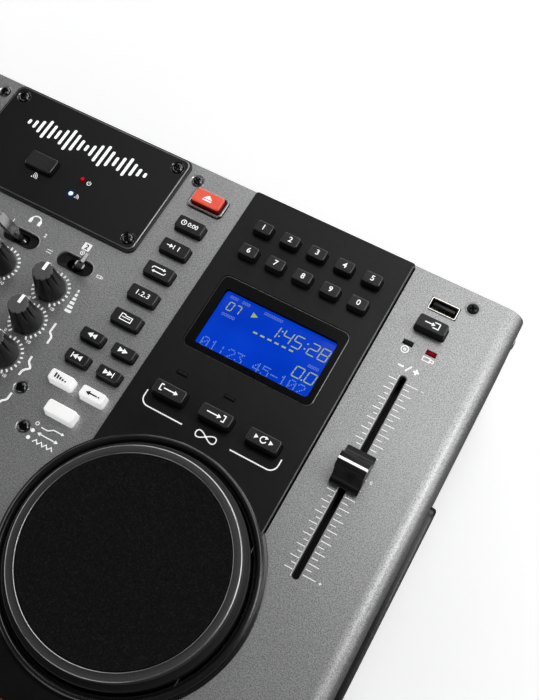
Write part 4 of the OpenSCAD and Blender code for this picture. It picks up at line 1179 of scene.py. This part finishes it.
b = Build()
for s in (-1, 1):
    def hr(l, h, r, x):
        return [(s * (238.5 + x), py, 53 + pz) for py, pz in rrect(l, h, r, 8)]
    rings = [hr(88, 24, 4, -18.0), hr(89.4, 25.4, 4.7, -17.8), hr(90, 26, 5, -17.0), hr(90, 26, 5, 2.1), hr(90.3, 26.3, 5.1, 2.65), hr(91.0, 27.0, 5.4, 3.05),
             hr(92.2, 28.2, 6.0, 3.2), hr(100.6, 34.6, 6.4, 3.2), hr(102.4, 36.4, 7.2, 2.96), hr(103.5, 37.5, 7.7, 2.4), hr(104, 38, 8, 1.6), hr(104, 38, 8, 0.05),
             hr(94.4, 30.4, 6.2, 0.02), hr(94, 30, 6, -0.2), hr(94, 30, 6, -19.4), hr(93, 29, 5.6, -20.0)]
    b.add(loft(rings), 0)
b.done("grip_cups", "console", ["handle"], 30, ["side_handles"])


# ---------------------------------------------------------------- displays

def ring_solid(stack):
    """A frame: the rings run up the outside, over the face and down the inside."""
    return loft(stack, closed=True)

SEGMENTS = {"0": "abcdef", "1": "bc", "2": "abged", "3": "abgcd", "4": "fgbc", "5": "afgcd", "6": "afgedc",
            "7": "abc", "8": "abcdefg", "9": "abcdfg"}
ROWS = {
    "0": (".###.", "#...#", "#..##", "#.#.#", "##..#", "#...#", ".###."),
    "1": ("..#..", ".##..", "..#..", "..#..", "..#..", "..#..", ".###."),
    "2": (".###.", "#...#", "....#", "...#.", "..#..", ".#...", "#####"),
    "3": ("#####", "...#.", "..#..", "...#.", "....#", "#...#", ".###."),
    "4": ("...#.", "..##.", ".#.#.", "#..#.", "#####", "...#.", "...#."),
    "5": ("#####", "#....", "####.", "....#", "....#", "#...#", ".###."),
    "-": (".....", ".....", ".....", "#####", ".....", ".....", "....."),
    ":": (".....", "..#..", "..#..", ".....", "..#..", "..#..", "....."),
    " ": (".....",) * 7,
}

def seven(ink, ch, x, y, w, h, t, slant=0.10):
    """One seven-segment numeral, low left corner at x, y."""
    g = 0.10 * t + 0.05
    m = h / 2
    def P_(px, py):
        return (x + px + slant * py, y + py)
    shapes = {
        "a": [(t / 2 + g, h), (w - t / 2 - g, h), (w - t - g, h - t), (t + g, h - t)],
        "d": [(t / 2 + g, 0), (w - t / 2 - g, 0), (w - t - g, t), (t + g, t)][::-1],
        "g": [(t * 0.6 + g, m), (t + g, m + t / 2), (w - t - g, m + t / 2), (w - t * 0.6 - g, m), (w - t - g, m - t / 2), (t + g, m - t / 2)],
        "f": [(0, h - t / 2 - g), (t, h - t - g), (t, m + t / 2 + g), (t / 2, m + g), (0, m + t / 4 + g)],
        "b": [(w, h - t / 2 - g), (w - t, h - t - g), (w - t, m + t / 2 + g), (w - t / 2, m + g), (w, m + t / 4 + g)][::-1],
        "e": [(0, t / 2 + g), (t, t + g), (t, m - t / 2 - g), (t / 2, m - g), (0, m - t / 4 - g)][::-1],
        "c": [(w, t / 2 + g), (w - t, t + g), (w - t, m - t / 2 - g), (w - t / 2, m - g), (w, m - t / 4 - g)],
    }
    for sgm in SEGMENTS[ch]:
        ink.fill([P_(*q) for q in shapes[sgm]])

LCD_Z = T - 1.8
for side, s in (("left", -1), ("right", 1)):
    cx = s * DX
    # gloss bezel with its clear opening
    b = Build()
    def br(w, d, r, z, ox=0.0, oy=0.0):
        return [(cx + ox + px, 80 + oy + py, z) for px, py in rrect(w, d, r, 7)]
    stack = [br(74, 47, 3, T - 1.5), br(74, 47, 3, T - 0.15), br(73.7, 46.7, 2.9, T - 0.02), br(69.7, 42.7, 3.8, T - 0.02), br(69.7, 42.7, 3.8, T + 0.72),
             br(69.6, 42.6, 3.8, T + 0.80), br(68.9, 41.9, 3.5, T + 0.97), br(68.6, 41.6, 3.4, T + 1.0), br(68.2, 41.2, 3.3, T + 1.0),
             br(60.9, 32.1, 1.7, T + 1.0, 0.45, -1.2), br(60.8, 32.0, 1.7, T + 0.94, 0.45, -1.2), br(60.8, 32.0, 1.7, T - 1.5, 0.45, -1.2)]
    b.add(ring_solid(stack), 0)
    n = len(stack[0])
    # the outer edge's rounding takes the lighter trim as a painted highlight line; the opening's inner wall takes the
    # matte black as painted shade
    for k in range(4, 7):
        for q in range(n):
            b.m[k * n + q] = 1
    for q in range(n):
        b.m[10 * n + q] = 2
    b.done(f"display_bezel_{side}", "console", ["gloss", "trim", "cover"], 30)
    # LCD glass over its module, with the numerals lit on it
    b = Build()
    lx, ly = cx + 0.45, 78.5
    def lr(w, d, r, z):
        return [(lx + px, ly + py, z) for px, py in rrect(w, d, r, 4)]
    b.add(loft([lr(69.6, 41.6, 0.8, T - 6.8), lr(70, 42, 1.0, T - 6.5), lr(70, 42, 1.0, T - 3.9), lr(69.6, 41.6, 0.8, T - 3.75)]), 1)
    b.add(loft([lr(63.8, 34.8, 0.5, T - 3.8), lr(64, 35, 0.6, T - 3.6), lr(64, 35, 0.6, T - 2.0), lr(63.8, 34.8, 0.5, LCD_Z), lr(63.2, 34.2, 0.4, LCD_Z)]), 0)
    seg = Ink(b, LCD_Z, 2, -0.03, 0.03)
    dim = Ink(b, LCD_Z, 3, -0.03, 0.03)
    fine = Ink(b, LCD_Z, 4, -0.03, 0.03)
    ox = cx - DX
    digits = ("08", "14702", "25") if s < 0 else ("07", "14528", "00")
    for k, ch in enumerate(digits[0]):
        seven(seg, ch, ox + 109.6 + 3.9 * k, 85.4, 3.1, 5.0, 0.5)
    tri(seg, ox + 124.4, 89.0, 3.2, 3.1)
    for x, ch in zip((133.6, 140.8, 146.6, 154.8, 160.6), digits[1]):
        seven(seg, ch, ox + x, 83.2, 4.7, 7.0, 0.54)
    for x in (139.7, 153.5):
        seg.dot(ox + x, 85.2, 0.42, 10)
        seg.dot(ox + x + 0.35, 88.2, 0.42, 10)
    for k in range(6):
        seg.bar(ox + 127.8 + 3.88 * k, 80.9, ox + 130.0 + 3.88 * k, 81.75)
    seven(seg, digits[2][0], ox + 154.0, 70.0, 4.8, 6.2, 0.56)
    seg.dot(ox + 159.8, 70.4, 0.45, 10)
    seven(seg, digits[2][1], ox + 160.6, 70.0, 4.8, 6.2, 0.56)
    # small legends as plain bars and rings
    for x0, x1, y in ((109.0, 113.2, 92.7), (115.6, 120.4, 92.7), (127.8, 137.6, 92.7), (109.6, 117.2, 82.9), (159.2, 165.2, 78.6)):
        k = x0
        while k < x1 - 0.9:
            dim.line([(ox + k, y - 0.6), (ox + k + 0.9, y - 0.6), (ox + k + 0.9, y + 0.6), (ox + k, y + 0.6)], 0.24, True)
            k += 1.45
    # dot-matrix line
    p = 0.80
    for k, ch in enumerate("01:23 45-102"):
        for r, row in enumerate(ROWS[ch]):
            for c, px in enumerate(row):
                if px == "#":
                    x = ox + 108.4 + 4.7 * k + p * c
                    y = 68.4 - p * r
                    fine.bar(x - 0.27, y - 0.27, x + 0.27, y + 0.27)
    b.done(f"lcd_panel_{side}", "console", ["lcd", "plastic", "seg", "seg_dim", "seg_fine"], 30)
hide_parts("display_windows")
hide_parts("lcd_modules")


# ------------------------------------------------------------------- lamps

b = Build()
def lamp_block(x, y, w, d, z0, z1, mi):
    rings = []
    for inset, z in ((0, z0), (0, z1 - 0.4), (0.08, z1 - 0.2), (0.26, z1 - 0.06), (0.5, z1)):
        rings.append([(x + px, y + py, z) for px, py in rrect(w - 2 * inset, d - 2 * inset, (d / 2 - inset) * 0.8, 5)])
    b.add(loft(rings), mi)
for s in (-1, 1):
    lamp_block(s * 195.3, 110.6, 5.0, 2.5, T - 5, T + 0.35, 0 if s > 0 else 7)
    lamp_block(s * 207.2, 110.6, 5.0, 2.5, T - 5, T + 0.35, 7 if s > 0 else 0)
    # bright middle of the lit one
    lamp_block(207.2 if s > 0 else -195.3, 110.6, 3.3, 1.2, T - 1, T + 0.4, 1)
    lamp_block(s * (DX - 25.6), 45.5, 5.5, 1.8, T - 4, P + 0.25, 0)
    lamp_block(s * DX, 45.5, 5.5, 1.8, T - 4, P + 0.25, 0)
dome = [(0, -6), (1.5, -6), (1.5, 0.0), (1.47, 0.35), (1.32, 0.68), (1.05, 0.95), (0.66, 1.14), (0, 1.2)]
rim = [(1.5, -6), (1.5, 0.1), (1.46, 0.32), (1.32, 0.44), (1.2, 0.42), (1.2, -6)]
core = [(0, -5.5), (1.19, -5.5), (1.19, 0.36), (1.05, 0.68), (0.8, 0.9), (0.42, 1.02), (0, 1.06)]
b.add(revolve(dome, 28), 7, lambda p: (9.4 + p[0], 113 + p[1], C + p[2]))
glint = [(0, 0.2), (0.92, 0.2), (0.92, 1.08), (0.78, 1.2), (0.5, 1.28), (0, 1.32)]
b.add(revolve(glint, 28), 8, lambda p: (9.4 + p[0], 113 + p[1], C + p[2]))
round_lens = [(1.45, -0.6), (1.45, 0.07), (1.6, 0.1), (2.2, 0.08), (2.4, 0.03), (2.4, -0.02), (1.55, -0.02)]
b.add(revolve(round_lens, 32), 9, lambda p: (8.7 + p[0], 103.1 + p[1], C + p[2]))
b.add(revolve(rim, 28), 2, lambda p: (8.7 + p[0], 103.1 + p[1], C + p[2]))
b.add(revolve(core, 28), 3, lambda p: (8.7 + p[0], 103.1 + p[1], C + p[2]))
for x in (-5, 5):
    for k in range(7):
        lamp_block(x, -40 - 7 * k, 6, 2.5, T - 5, T + 0.35, 6 if k < 1 else 5 if k < 3 else 4)
b.done("indicator_lenses", "console", ["lamp_dark", "lamp_red", "lamp_blue", "lamp_white", "lamp_green", "lamp_amber", "lamp_redoff", "lamp_dim", "lamp_core", "lamp_halo"], 34,
       ["indicator_lamps"])


# ------------------------------------------------------------- USB sockets

b = Build()
for s in (-1, 1):
    x, y = s * USB[0], USB[1]
    def us(w, d, r, z):
        return [(x + px, y + py, z) for px, py in rrect(w, d, r, 3)]
    shell = [us(14.4, 7.0, 0.7, T - 15), us(14.4, 7.0, 0.7, T + 0.25), us(14.2, 6.8, 0.6, T + 0.5), us(13.6, 6.2, 0.5, T + 0.5),
             us(13.3, 5.9, 0.5, T + 0.2), us(13.2, 5.8, 0.5, T - 14.2), us(0.4, 0.4, 0.1, T - 14.2)]
    rings = shell[:6]
    v, f = loft(rings)
    b.add((v, f), 0)
    # tongue with four contacts
    b.add(box_shape((x - 5.6, y + 0.3, T - 14.3), (x + 5.6, y + 2.1, T - 1.2), 0.25), 1)
    for k, dx in enumerate((-3.5, -1.0, 1.0, 3.5)):
        b.add(box_shape((x + dx - 0.5, y + 0.12, T - 12), (x + dx + 0.5, y + 0.36, T - (1.9 if k in (0, 3) else 2.6)), 0.06), 2)
    # spring tabs on the long walls
    for dx in (-3.4, 3.4):
        b.add(box_shape((x + dx - 0.9, y - 2.95, T - 8), (x + dx + 0.9, y - 2.55, T - 2.5), 0.1), 0)
b.done("usb_shells", "console", ["nickel", "plastic", "gold"], 30, ["usb_sockets"])


# -------------------------------------------------- rear and front sockets

b = Build()
HD = 150.0
def rear(x, z):
    return lambda p: (x + p[0], HD - 2 + p[2], z - p[1])
def front(x, z):
    return lambda p: (x + p[0], -HD + 2.5 - p[2], z + p[1])
for k, x in enumerate((30, 58, 86, 114)):
    for j, z in enumerate((36, 58)):
        at = rear(x, z)
        b.add(box_shape((-6.5, -6.5, -11.5), (6.5, 6.5, -1.6), 0.4), 0, at)
        b.add(revolve([(0, -3.0), (4.5, -3.0), (4.5, 0.02), (6.0, 0.02), (6.0, 0.95), (5.8, 1.2), (4.3, 1.2), (4.3, 1.0), (3.6, 1.0), (3.6, 0.2), (0, 0.2)], 40),
              3 if j else 2, at)
        b.add(revolve([(2.7, -2.0), (4.15, -2.0), (4.15, 8.6), (4.0, 8.9), (3.7, 9.0), (3.35, 8.9), (3.2, 8.6), (3.2, 2.0), (2.7, 2.0)], 40), 1, at)
        b.add(revolve([(1.6, 0.1), (3.25, 0.1), (3.25, 7.6), (3.0, 7.9), (2.0, 7.9), (1.6, 7.5)], 32), 3 if j else 2, at)
        b.add(revolve([(1.05, 0.15), (1.62, 0.15), (1.62, 7.2), (1.4, 7.35), (1.05, 7.2)], 24), 4, at)
for s in (-1, 1):
    at = front(24 * s, 56)
    b.add(box_shape((-8, -8, -35.5), (8, 8, -1.6), 0.5), 0, at)
    # knurled nut, washer and bushing
    nut = []
    for z, r in ((0.45, 7.1), (0.7, 7.5), (1.7, 7.5), (2.0, 7.1)):
        nut.append([((r - (0.28 if q % 2 else 0)) * math.cos(math.pi * q / 36), (r - (0.28 if q % 2 else 0)) * math.sin(math.pi * q / 36), z) for q in range(72)])
    inner = [[(5.2 * math.cos(math.pi * q / 36), 5.2 * math.sin(math.pi * q / 36), z) for q in range(72)] for z in (2.0, 0.45)]
    b.add(loft(nut + inner, closed=True), 1, at)
    b.add(revolve([(5.3, 0.0), (7.6, 0.0), (7.6, 0.35), (7.4, 0.48), (5.3, 0.48)], 40), 1, at)
    b.add(revolve([(3.2, -30), (5.5, -30), (5.5, 1.9), (5.3, 2.35), (4.9, 2.5), (3.6, 2.5), (3.2, 2.2)], 40), 0, at)
# mains inlet: flange, hollow, three blades
at = rear(-180, 44)
def ir(w, d, r, z):
    return [(px, py, z) for px, py in rrect(w, d, r, 5)]
b.add(loft([ir(27.6, 20.8, 1.5, -20), ir(27.6, 20.8, 1.5, 0.05), ir(50, 24, 4, 0.05), ir(50, 24, 4, 2.0), ir(49.3, 23.3, 3.7, 2.5),
            ir(25.2, 17.6, 3.0, 2.5), ir(24.4, 16.8, 2.8, 2.1), ir(24, 16.4, 2.6, -16.5), ir(2.0, 2.0, 0.5, -16.6), ir(1.6, 1.6, 0.4, -19.9)], closed=True), 0, at)
for dx, dz in ((-7, 1.8), (7, 1.8), (0, -2.6)):
    b.add(box_shape((dx - 1.0, dz - 2.0, -16.8), (dx + 1.0, dz + 2.0, -2.0), 0.4), 1, at)
# frame of the power switch
at = rear(-132, 44)
b.add(loft([ir(17.6, 25.6, 1.0, -20), ir(17.6, 25.6, 1.0, 0.05), ir(21, 29, 2, 0.05), ir(21, 29, 2, 1.5), ir(20.4, 28.4, 1.8, 2.0),
            ir(16.2, 24.6, 1.4, 2.0), ir(15.0, 23.4, 1.0, 1.0), ir(14.8, 23.2, 0.8, -14.0), ir(2.0, 2.0, 0.5, -14.1), ir(1.6, 1.6, 0.4, -19.9)], closed=True), 0, at)
b.done("socket_fittings", "console", ["plastic", "nickel", "red_ring", "white_ring", "gold"], 32, ["panel_sockets"])

# rocker with its two marks
b = Build()
ang = math.radians(10)
def rock(p):
    px, py, pz = p
    return (-132 + px, HD - 4 + py * math.cos(ang) - pz * math.sin(ang), 44 + py * math.sin(ang) + pz * math.cos(ang))
face = [(-5, -9), (4.0, -10.25), (4.35, -10.1), (4.4, -9.7)]
face += [(2.6 + 1.72 * (k / 10) ** 2, -9.3 * (k / 10)) for k in range(9, -1, -1)]
face += [(2.6 + 1.72 * (k / 10) ** 2, 9.3 * (k / 10)) for k in range(1, 10)] + [(4.4, 9.7), (4.35, 10.1), (4.0, 10.25), (-5, 9)]
rings = []
for x, inset in ((-7.0, 0.35), (-6.85, 0.12), (-6.5, 0.0), (6.5, 0.0), (6.85, 0.12), (7.0, 0.35)):
    rings.append([(x, py * (1 - inset / 6), pz * (1 - inset / 10)) for py, pz in face])
b.add(loft(rings), 0, rock)
def on_face(shape):
    v, f = shape
    return [(x, 2.6 + 1.72 * (z / 9.3) ** 2 + h, z) for x, z, h in v], f
b.add(on_face(prism([(-0.35, 4.2), (0.35, 4.2), (0.35, 7.4), (-0.35, 7.4)], -0.1, 0.06)), 1, rock)
b.add(on_face(ribbon(disc(0, -5.8, 1.5, 24), 0.55, -0.1, 0.06, True)), 1, rock)
b.done("rocker_key", "power_rocker", ["plastic", "ink"], 34, ["power_switch"])


# ------------------------------------------------------- print on surfaces

b = Build()
ink = Ink(b, T, 0)
for node, x, y, kind in KNOBS:
    for k in range(21):
        a = math.radians(-150 + 15 * k)
        ink.at(x, y, -math.degrees(a)).bar(-0.43, 8.25, 0.43, 9.75 if k not in (0, 10, 20) else 10.05)
    ink.at(x, y).num("0", -6.6, -9.0, 1.7)
    ink.num("10", 6.9, -9.0, 1.7)
marks = {"level": mark_level, "treble": mark_high, "mid": mark_mid, "bass": mark_low, "mic": mark_level, "master": mark_level, "phones": mark_phones}
for node, x, y, kind in KNOBS:
    if x:
        marks[kind](ink.at((1 if x > 0 else -1) * 43.9, y, -90 if x > 0 else 90, 1.3))
    elif kind == "phones":
        mark_phones(ink.at(0, y - 13.2))
# lever legends
mark_phones(ink.at(1.1, 82.2, 0, 1.45))
ink.at(0, 0).num("1", -9.0, 77.1, 2.1, 0.02).num("2", 10.4, 77.2, 2.1, 0.02)
for s, t in ((-1, "1"), (1, "2")):
    Ink(b, T, 0).at(s * 32.4, 81.7).fill(rrect(4.2, 4.2, 0.3, 3))
    Ink(b, T, 1, 0.0, 0.06).at(s * 32.4, 81.7).num(t, 0, 0, 2.9, 0.03)
    mark_disc(Ink(b, T, 0).at(s * 32.3, 77.8, 0, 0.8))
    mark_stick(Ink(b, T, 0).at(s * 47.4, 70.4, 0, 0.8))
    ink.at(s * 17.2, 70.6).line([(-1.6, 0.7), (1.6, 0.7)], 0.36).line([(-1.6, -0.7), (1.6, -0.7)], 0.36)
# pitch scales
for s in (-1, 1):
    i = ink.at(0, 0)
    for k in range(-18, 19):
        y = 41 + 2.783 * k
        if y < -10.5 or y > 92.5:
            continue
        long = k % 2 == 0
        xr = (203.6, 208.6 if long else 206.5)
        xl = (194.7 if long else 196.6, 198.7)
        if abs(k) == 18:
            xr = (203.6, 209.9)
        for x0, x1 in (xr, xl):
            i.bar(min(s * x0, s * x1), y - 0.19, max(s * x0, s * x1), y + 0.19)
    i.bar(min(s * 198.95, s * 199.25), -12.0, max(s * 198.95, s * 199.25), 94.0)
    i.num("0", s * 210.9, 41.1, 1.7)
    # plus and minus at the scale's ends, and the pair above it
    i.bar(s * 212.0 - 0.7, 90.9, s * 212.0 + 0.7, 91.25)
    i.bar(s * 212.0 - 0.7, -9.15, s * 212.0 + 0.7, -8.8)
    i.bar(s * 212.0 - 0.17, -9.67, s * 212.0 + 0.17, -8.28)
    for x in (-3.9, 3.9):
        i.bar(s * 201.2 + x - 1.5, 98.2, s * 201.2 + x + 1.5, 99.1)
    i.bar(s * 201.2 + 3.45, 97.15, s * 201.2 + 4.35, 100.15)
    i.line([(s * 201.2 - 1.0, 97.0), (s * 201.2 + 1.0, 100.3)], 0.75)
    # source legends
    mark_disc(ink.at(s * 195.3, 107.0, 0, 1.3))
    mark_stick(ink.at(s * 207.2, 107.0, 0, 1.3))
    # the mode key's three marks and their legends
    for k, y in enumerate((-7.2, -11.0, -14.8)):
        i = ink.at(0, 0)
        x = s * (64.4 if s > 0 else 80.0)
        if k == 0:
            i.ring(x, y, 0.8, 0.36)
        else:
            i.dot(x, y, 0.95)
        i = ink.at(x + 8.2, y)
        if k == 0:
            i.line([(-5.6, -0.8), (-2.0, -0.8), (0.4, 0.8), (4.6, 0.8)], 0.5)
            tri(i, 5.3, 0.8, 1.4, 1.7)
        elif k == 1:
            tri(i, -4.8, 0, -1.8, 2.0)
            i.bar(-3.8, -0.25, 3.8, 0.25)
            tri(i, 4.8, 0, 1.8, 2.0)
        else:
            i.line([(-5.4 + 1.35 * q, 0.85 if q % 2 else -0.85) for q in range(9)], 0.5)
# crossfader scale and meter ticks
i = ink.at(0, 0)
for k in range(-5, 6):
    h = 3.0 if k in (-5, 0, 5) else 2.0
    i.bar(4.5 * k - 0.2, -114.2, 4.5 * k + 0.2, -114.2 + h)
    i.bar(4.5 * k - 0.2, -121.8 - h, 4.5 * k + 0.2, -121.8)
i.num("1", -32.5, -118, 3.0).num("2", 32.5, -118, 3.0)
for k in range(7):
    for s in (-1, 1):
        i.bar(s * 10.4 - 0.8, -40 - 7 * k - 0.18, s * 10.4 + 0.8, -40 - 7 * k + 0.18)
for s, t in ((-1, "1"), (1, "2")):
    i.num(t, s * 5, -88.5, 2.2)
b.done("panel_print", "console", ["ink", "ink_dark"], 30)

# deck panel print: bracket round the loop keys
b = Build()
ink = Ink(b, P, 0)
for s in (-1, 1):
    cx = s * DX
    for m in (-1, 1):
        pts = [(cx + m * 12.6, 24.0), (cx + m * 31.4, 24.0)]
        pts += [(cx + m * (31.4 + 4.0 * math.sin(math.radians(t))), 28.0 - 4.0 * math.cos(math.radians(t))) for t in (15, 30, 45, 60, 75, 90)]
        pts += [(cx + m * 35.4, 31.2)]
        ink.at(0, 0).line(pts, 0.62)
    # a closed loop in the gap
    i = ink.at(cx, 24.0)
    top = [(5.2 * math.sin(2 * math.pi * q / 40), 1.75 * math.sin(4 * math.pi * q / 40)) for q in range(40)]
    i.line(top, 0.6, True)
b.done("deck_print", "console", ["ink"], 30)

# centre plate print: a plain row of sound-level bars, and small marks by the lamps
b = Build()
ink = Ink(b, C, 0)
heights = (3, 5, 8, 12, 9, 6, 10, 14, 11, 7, 4, 7, 11, 14, 10, 6, 9, 12, 8, 5, 3)
for k, h in enumerate(heights):
    x = 3.6 * (k - 10)
    ink.at(x, 130.5)
    ink.fill(rrect(1.7, h, 0.8, 4))
mark_waves(ink.at(-13.6, 103.2, 0, 0.85))
mark_power(ink.at(13.4, 112.6))
mark_waves(ink.at(12.6, 102.8, 0, 0.6))
b.done("plate_print", "console", ["ink"], 30)

# tray fronts: finger lip along the lower edge, bright line along the upper one, disc and open marks
for side, s in (("left", -1), ("right", 1)):
    b = Build()
    at = lambda p, s=s: (s * DX + p[0], -HD + 0.02 - p[2], 38.5 + p[1])
    lip = [(-0.3, 0.0), (0.55, 0.25), (0.8, 0.7), (0.8, 1.5), (0.55, 1.95), (-0.3, 2.6)]
    rings = []
    for x, k in ((-24.0, 0.35), (-23.4, 0.8), (-22.4, 1.0), (22.4, 1.0), (23.4, 0.8), (24.0, 0.35)):
        rings.append([(x, -6.9 + py, (pz + 0.3) * k - 0.3) for pz, py in lip])
    b.add(loft(rings), 0, at)
    b.add(loft([[(x, 6.3 + y, z) for x, y in rrect(132 - 2 * i, 0.9 - 2 * i, 0.42 - i, 4)] for i, z in ((0.0, -0.2), (0.0, 0.06), (0.08, 0.16), (0.2, 0.2))]), 1, at)
    t = Build()
    mark_disc(Ink(t, 0.0).at(-60, -1.4, 0, 1.5))
    mark_eject(Ink(t, 0.0).at(60, -1.4, 0, 1.0))
    Ink(t, 0.0).at(0, 0).num("1" if s < 0 else "2", -52.5, -1.4, 4.2)
    b.add((t.v, t.f), 2, at)
    b.done(f"tray_front_trim_{side}", f"tray_{side}", ["tray", "chrome", "ink"], 30)

# front wall and rear wall print
b = Build()
t = Build()
mark_phones(Ink(t, 0.0).at(24, 13.0, 0, 1.7))
i = Ink(t, 0.0).at(-24, 13.0)
i.fill([(x - 0.6, y + 1.2) for x, y in rrect(2.4, 3.6, 1.15, 6)]).line([(-3.0, 1.0), (-2.6, -0.8), (-1.4, -1.7), (0.2, -1.7), (1.4, -0.8), (1.8, 1.0)], 0.45).bar(-0.8, -3.2, -0.4, -1.7).bar(-2.0, -3.6, 0.8, -3.15)
b.add((t.v, t.f), 0, lambda p: (p[0], -HD + 2.5 - p[2], 56 + p[1]))
t = Build()
i = Ink(t, 0.0).at(0, 0)
for a, c, text in ((30, 58, "1"), (86, 114, "2")):
    m = -(a + c) / 2
    i.line([(m - 20.5, 21.5), (m - 20.5, 24.0), (m - 4.0, 24.0)], 0.5)
    i.line([(m + 4.0, 24.0), (m + 20.5, 24.0), (m + 20.5, 21.5)], 0.5)
    i.num(text, m, 24.0, 3.6)
b.add((t.v, t.f), 0, lambda p: (-p[0], HD - 2 + p[2], 47 + p[1]))
b.done("wall_print", "console", ["ink"], 30)


# ---------------------------------------------- carried-over CAD materials

def finish(node, m, bevel=0.0, angle=38, seg=2):
    o = NODE[node]
    while len(o.data.materials) > 1:
        o.data.materials.pop(index=len(o.data.materials) - 1)
    if not o.data.materials:
        o.data.materials.append(M[m])
    o.data.materials[0] = M[m]
    if bevel:
        w = o.modifiers.new("weld", "WELD")
        w.merge_threshold = 1e-6
        v = o.modifiers.new("soft_edges", "BEVEL")
        v.width = bevel * MM
        v.segments = seg
        v.limit_method = "ANGLE"
        v.angle_limit = math.radians(angle)
        v.harden_normals = True

for node, m, bevel in (
        ("top_panel", "paint", 0.0), ("base_pan", "steel_black", 0.0), ("deck_panel_left", "deck", 0.25), ("deck_panel_right", "deck", 0.25),
        ("jog_axles", "steel", 0.0), ("disc_drives", "drive", 0.0), ("circuit_boards", "board", 0.0),
        ("feet", "rubber", 0.0), ("potentiometers", "pot", 0.0),
        ("disc_tray_left", "tray", 0.4), ("disc_tray_right", "tray", 0.4), ("disc_spindle_left", "spindle", 0.0), ("disc_spindle_right", "spindle", 0.0),
        ("optical_pickup_left", "pickup", 0.0), ("optical_pickup_right", "pickup", 0.0)):
    finish(node, m, bevel)


# ---------------------------------------------------------- floor and light

def floor():
    """A wide pale table top."""
    n = Nodes("studio_floor")
    f = n.noise(3, 2)
    n.base(n.ramp(f, [(0.3, grey(0.80)), (0.7, grey(0.82))]))
    away = n.t.nodes.new("ShaderNodeTexGradient")
    away.gradient_type = "SPHERICAL"
    n.link(n.scaled(0.2, 0.2, 0.2), away.inputs["Vector"])
    n.link(n.ramp(away.outputs["Fac"], [(0.0, grey(0.84)), (0.5, grey(0.72)), (0.78, grey(0.46)), (1.0, grey(0.46))]), n.bsdf.inputs["Emission Color"])
    n.set(Roughness=0.9, Specular_IOR_Level=0.0, Emission_Strength=0.98)
    flat = [(5.0 * math.cos(math.pi * q / 32), 5.0 * math.sin(math.pi * q / 32), 0.0) for q in range(64)]
    sweep = [(5.0, 0.0)] + [(5.0 + 2.5 * math.sin(math.radians(t)), 2.5 - 2.5 * math.cos(math.radians(t))) for t in range(10, 91, 10)] + [(7.5, 9.0)]
    ring = [(r * math.cos(math.pi * q / 32), r * math.sin(math.pi * q / 32), z) for r, z in sweep for q in range(64)]
    walls = [(64 * k + q, 64 * k + (q + 1) % 64, 64 * (k + 1) + (q + 1) % 64, 64 * (k + 1) + q) for k in range(len(sweep) - 1) for q in range(64)]
    for name, verts, faces in (("floor", flat, [tuple(range(64))]), ("backdrop", ring, walls)):
        me = bpy.data.meshes.new(name)
        me.from_pydata(verts, [], faces)
        me.polygons.foreach_set("use_smooth", [True] * len(me.polygons))
        me.materials.append(n.m)
        ob = bpy.data.objects.new(name, me)
        ob.location.z = -0.0002
        ob.visible_diffuse = False
        ob.visible_glossy = False
        scene.collection.objects.link(ob)

floor()

def softbox(name, at, aim, w, h, power, col=(1, 1, 1)):
    li = bpy.data.lights.new(name, "AREA")
    li.shape = "RECTANGLE"
    li.size, li.size_y = w, h
    li.energy = power
    li.color = col
    ob = bpy.data.objects.new(name, li)
    ob.location = at
    ob.rotation_euler = (Vector(aim) - Vector(at)).to_track_quat("-Z", "Y").to_euler()
    scene.collection.objects.link(ob)

AIM = (0.15, 0.03, 0.09)
softbox("right", (1.24, 0.53, 1.15), AIM, 0.5, 0.5, 6.0)
softbox("right_low", (1.80, 0.66, 0.46), (0.2, 0.03, 0.09), 1.3, 0.55, 4.5)
softbox("over", (0.46, 0.82, 1.52), AIM, 1.1, 0.7, 6.7)
softbox("back_left", (-0.445, 0.88, 1.43), AIM, 0.7, 0.5, 0.95)
softbox("back_wall", (0.10, 1.70, 0.62), (0.10, 0.0, 0.35), 2.2, 0.95, 19.0)
softbox("left_wall", (-1.70, -0.40, 0.65), (0.0, -0.1, 0.35), 2.4, 0.7, 11.3)
softbox("front_fill", (0.10, -1.90, 0.75), AIM, 1.8, 0.9, 8.0)
world = bpy.data.worlds.new("studio")
world.use_nodes = True
bg = world.node_tree.nodes["Background"]
bg.inputs[0].default_value = (1, 1, 1, 1)
bg.inputs[1].default_value = 0.03
scene.world = world
scene.view_settings.view_transform = "Standard"
scene.view_settings.look = "None"
scene.view_settings.exposure = 0.0
scene.view_settings.gamma = 1.0
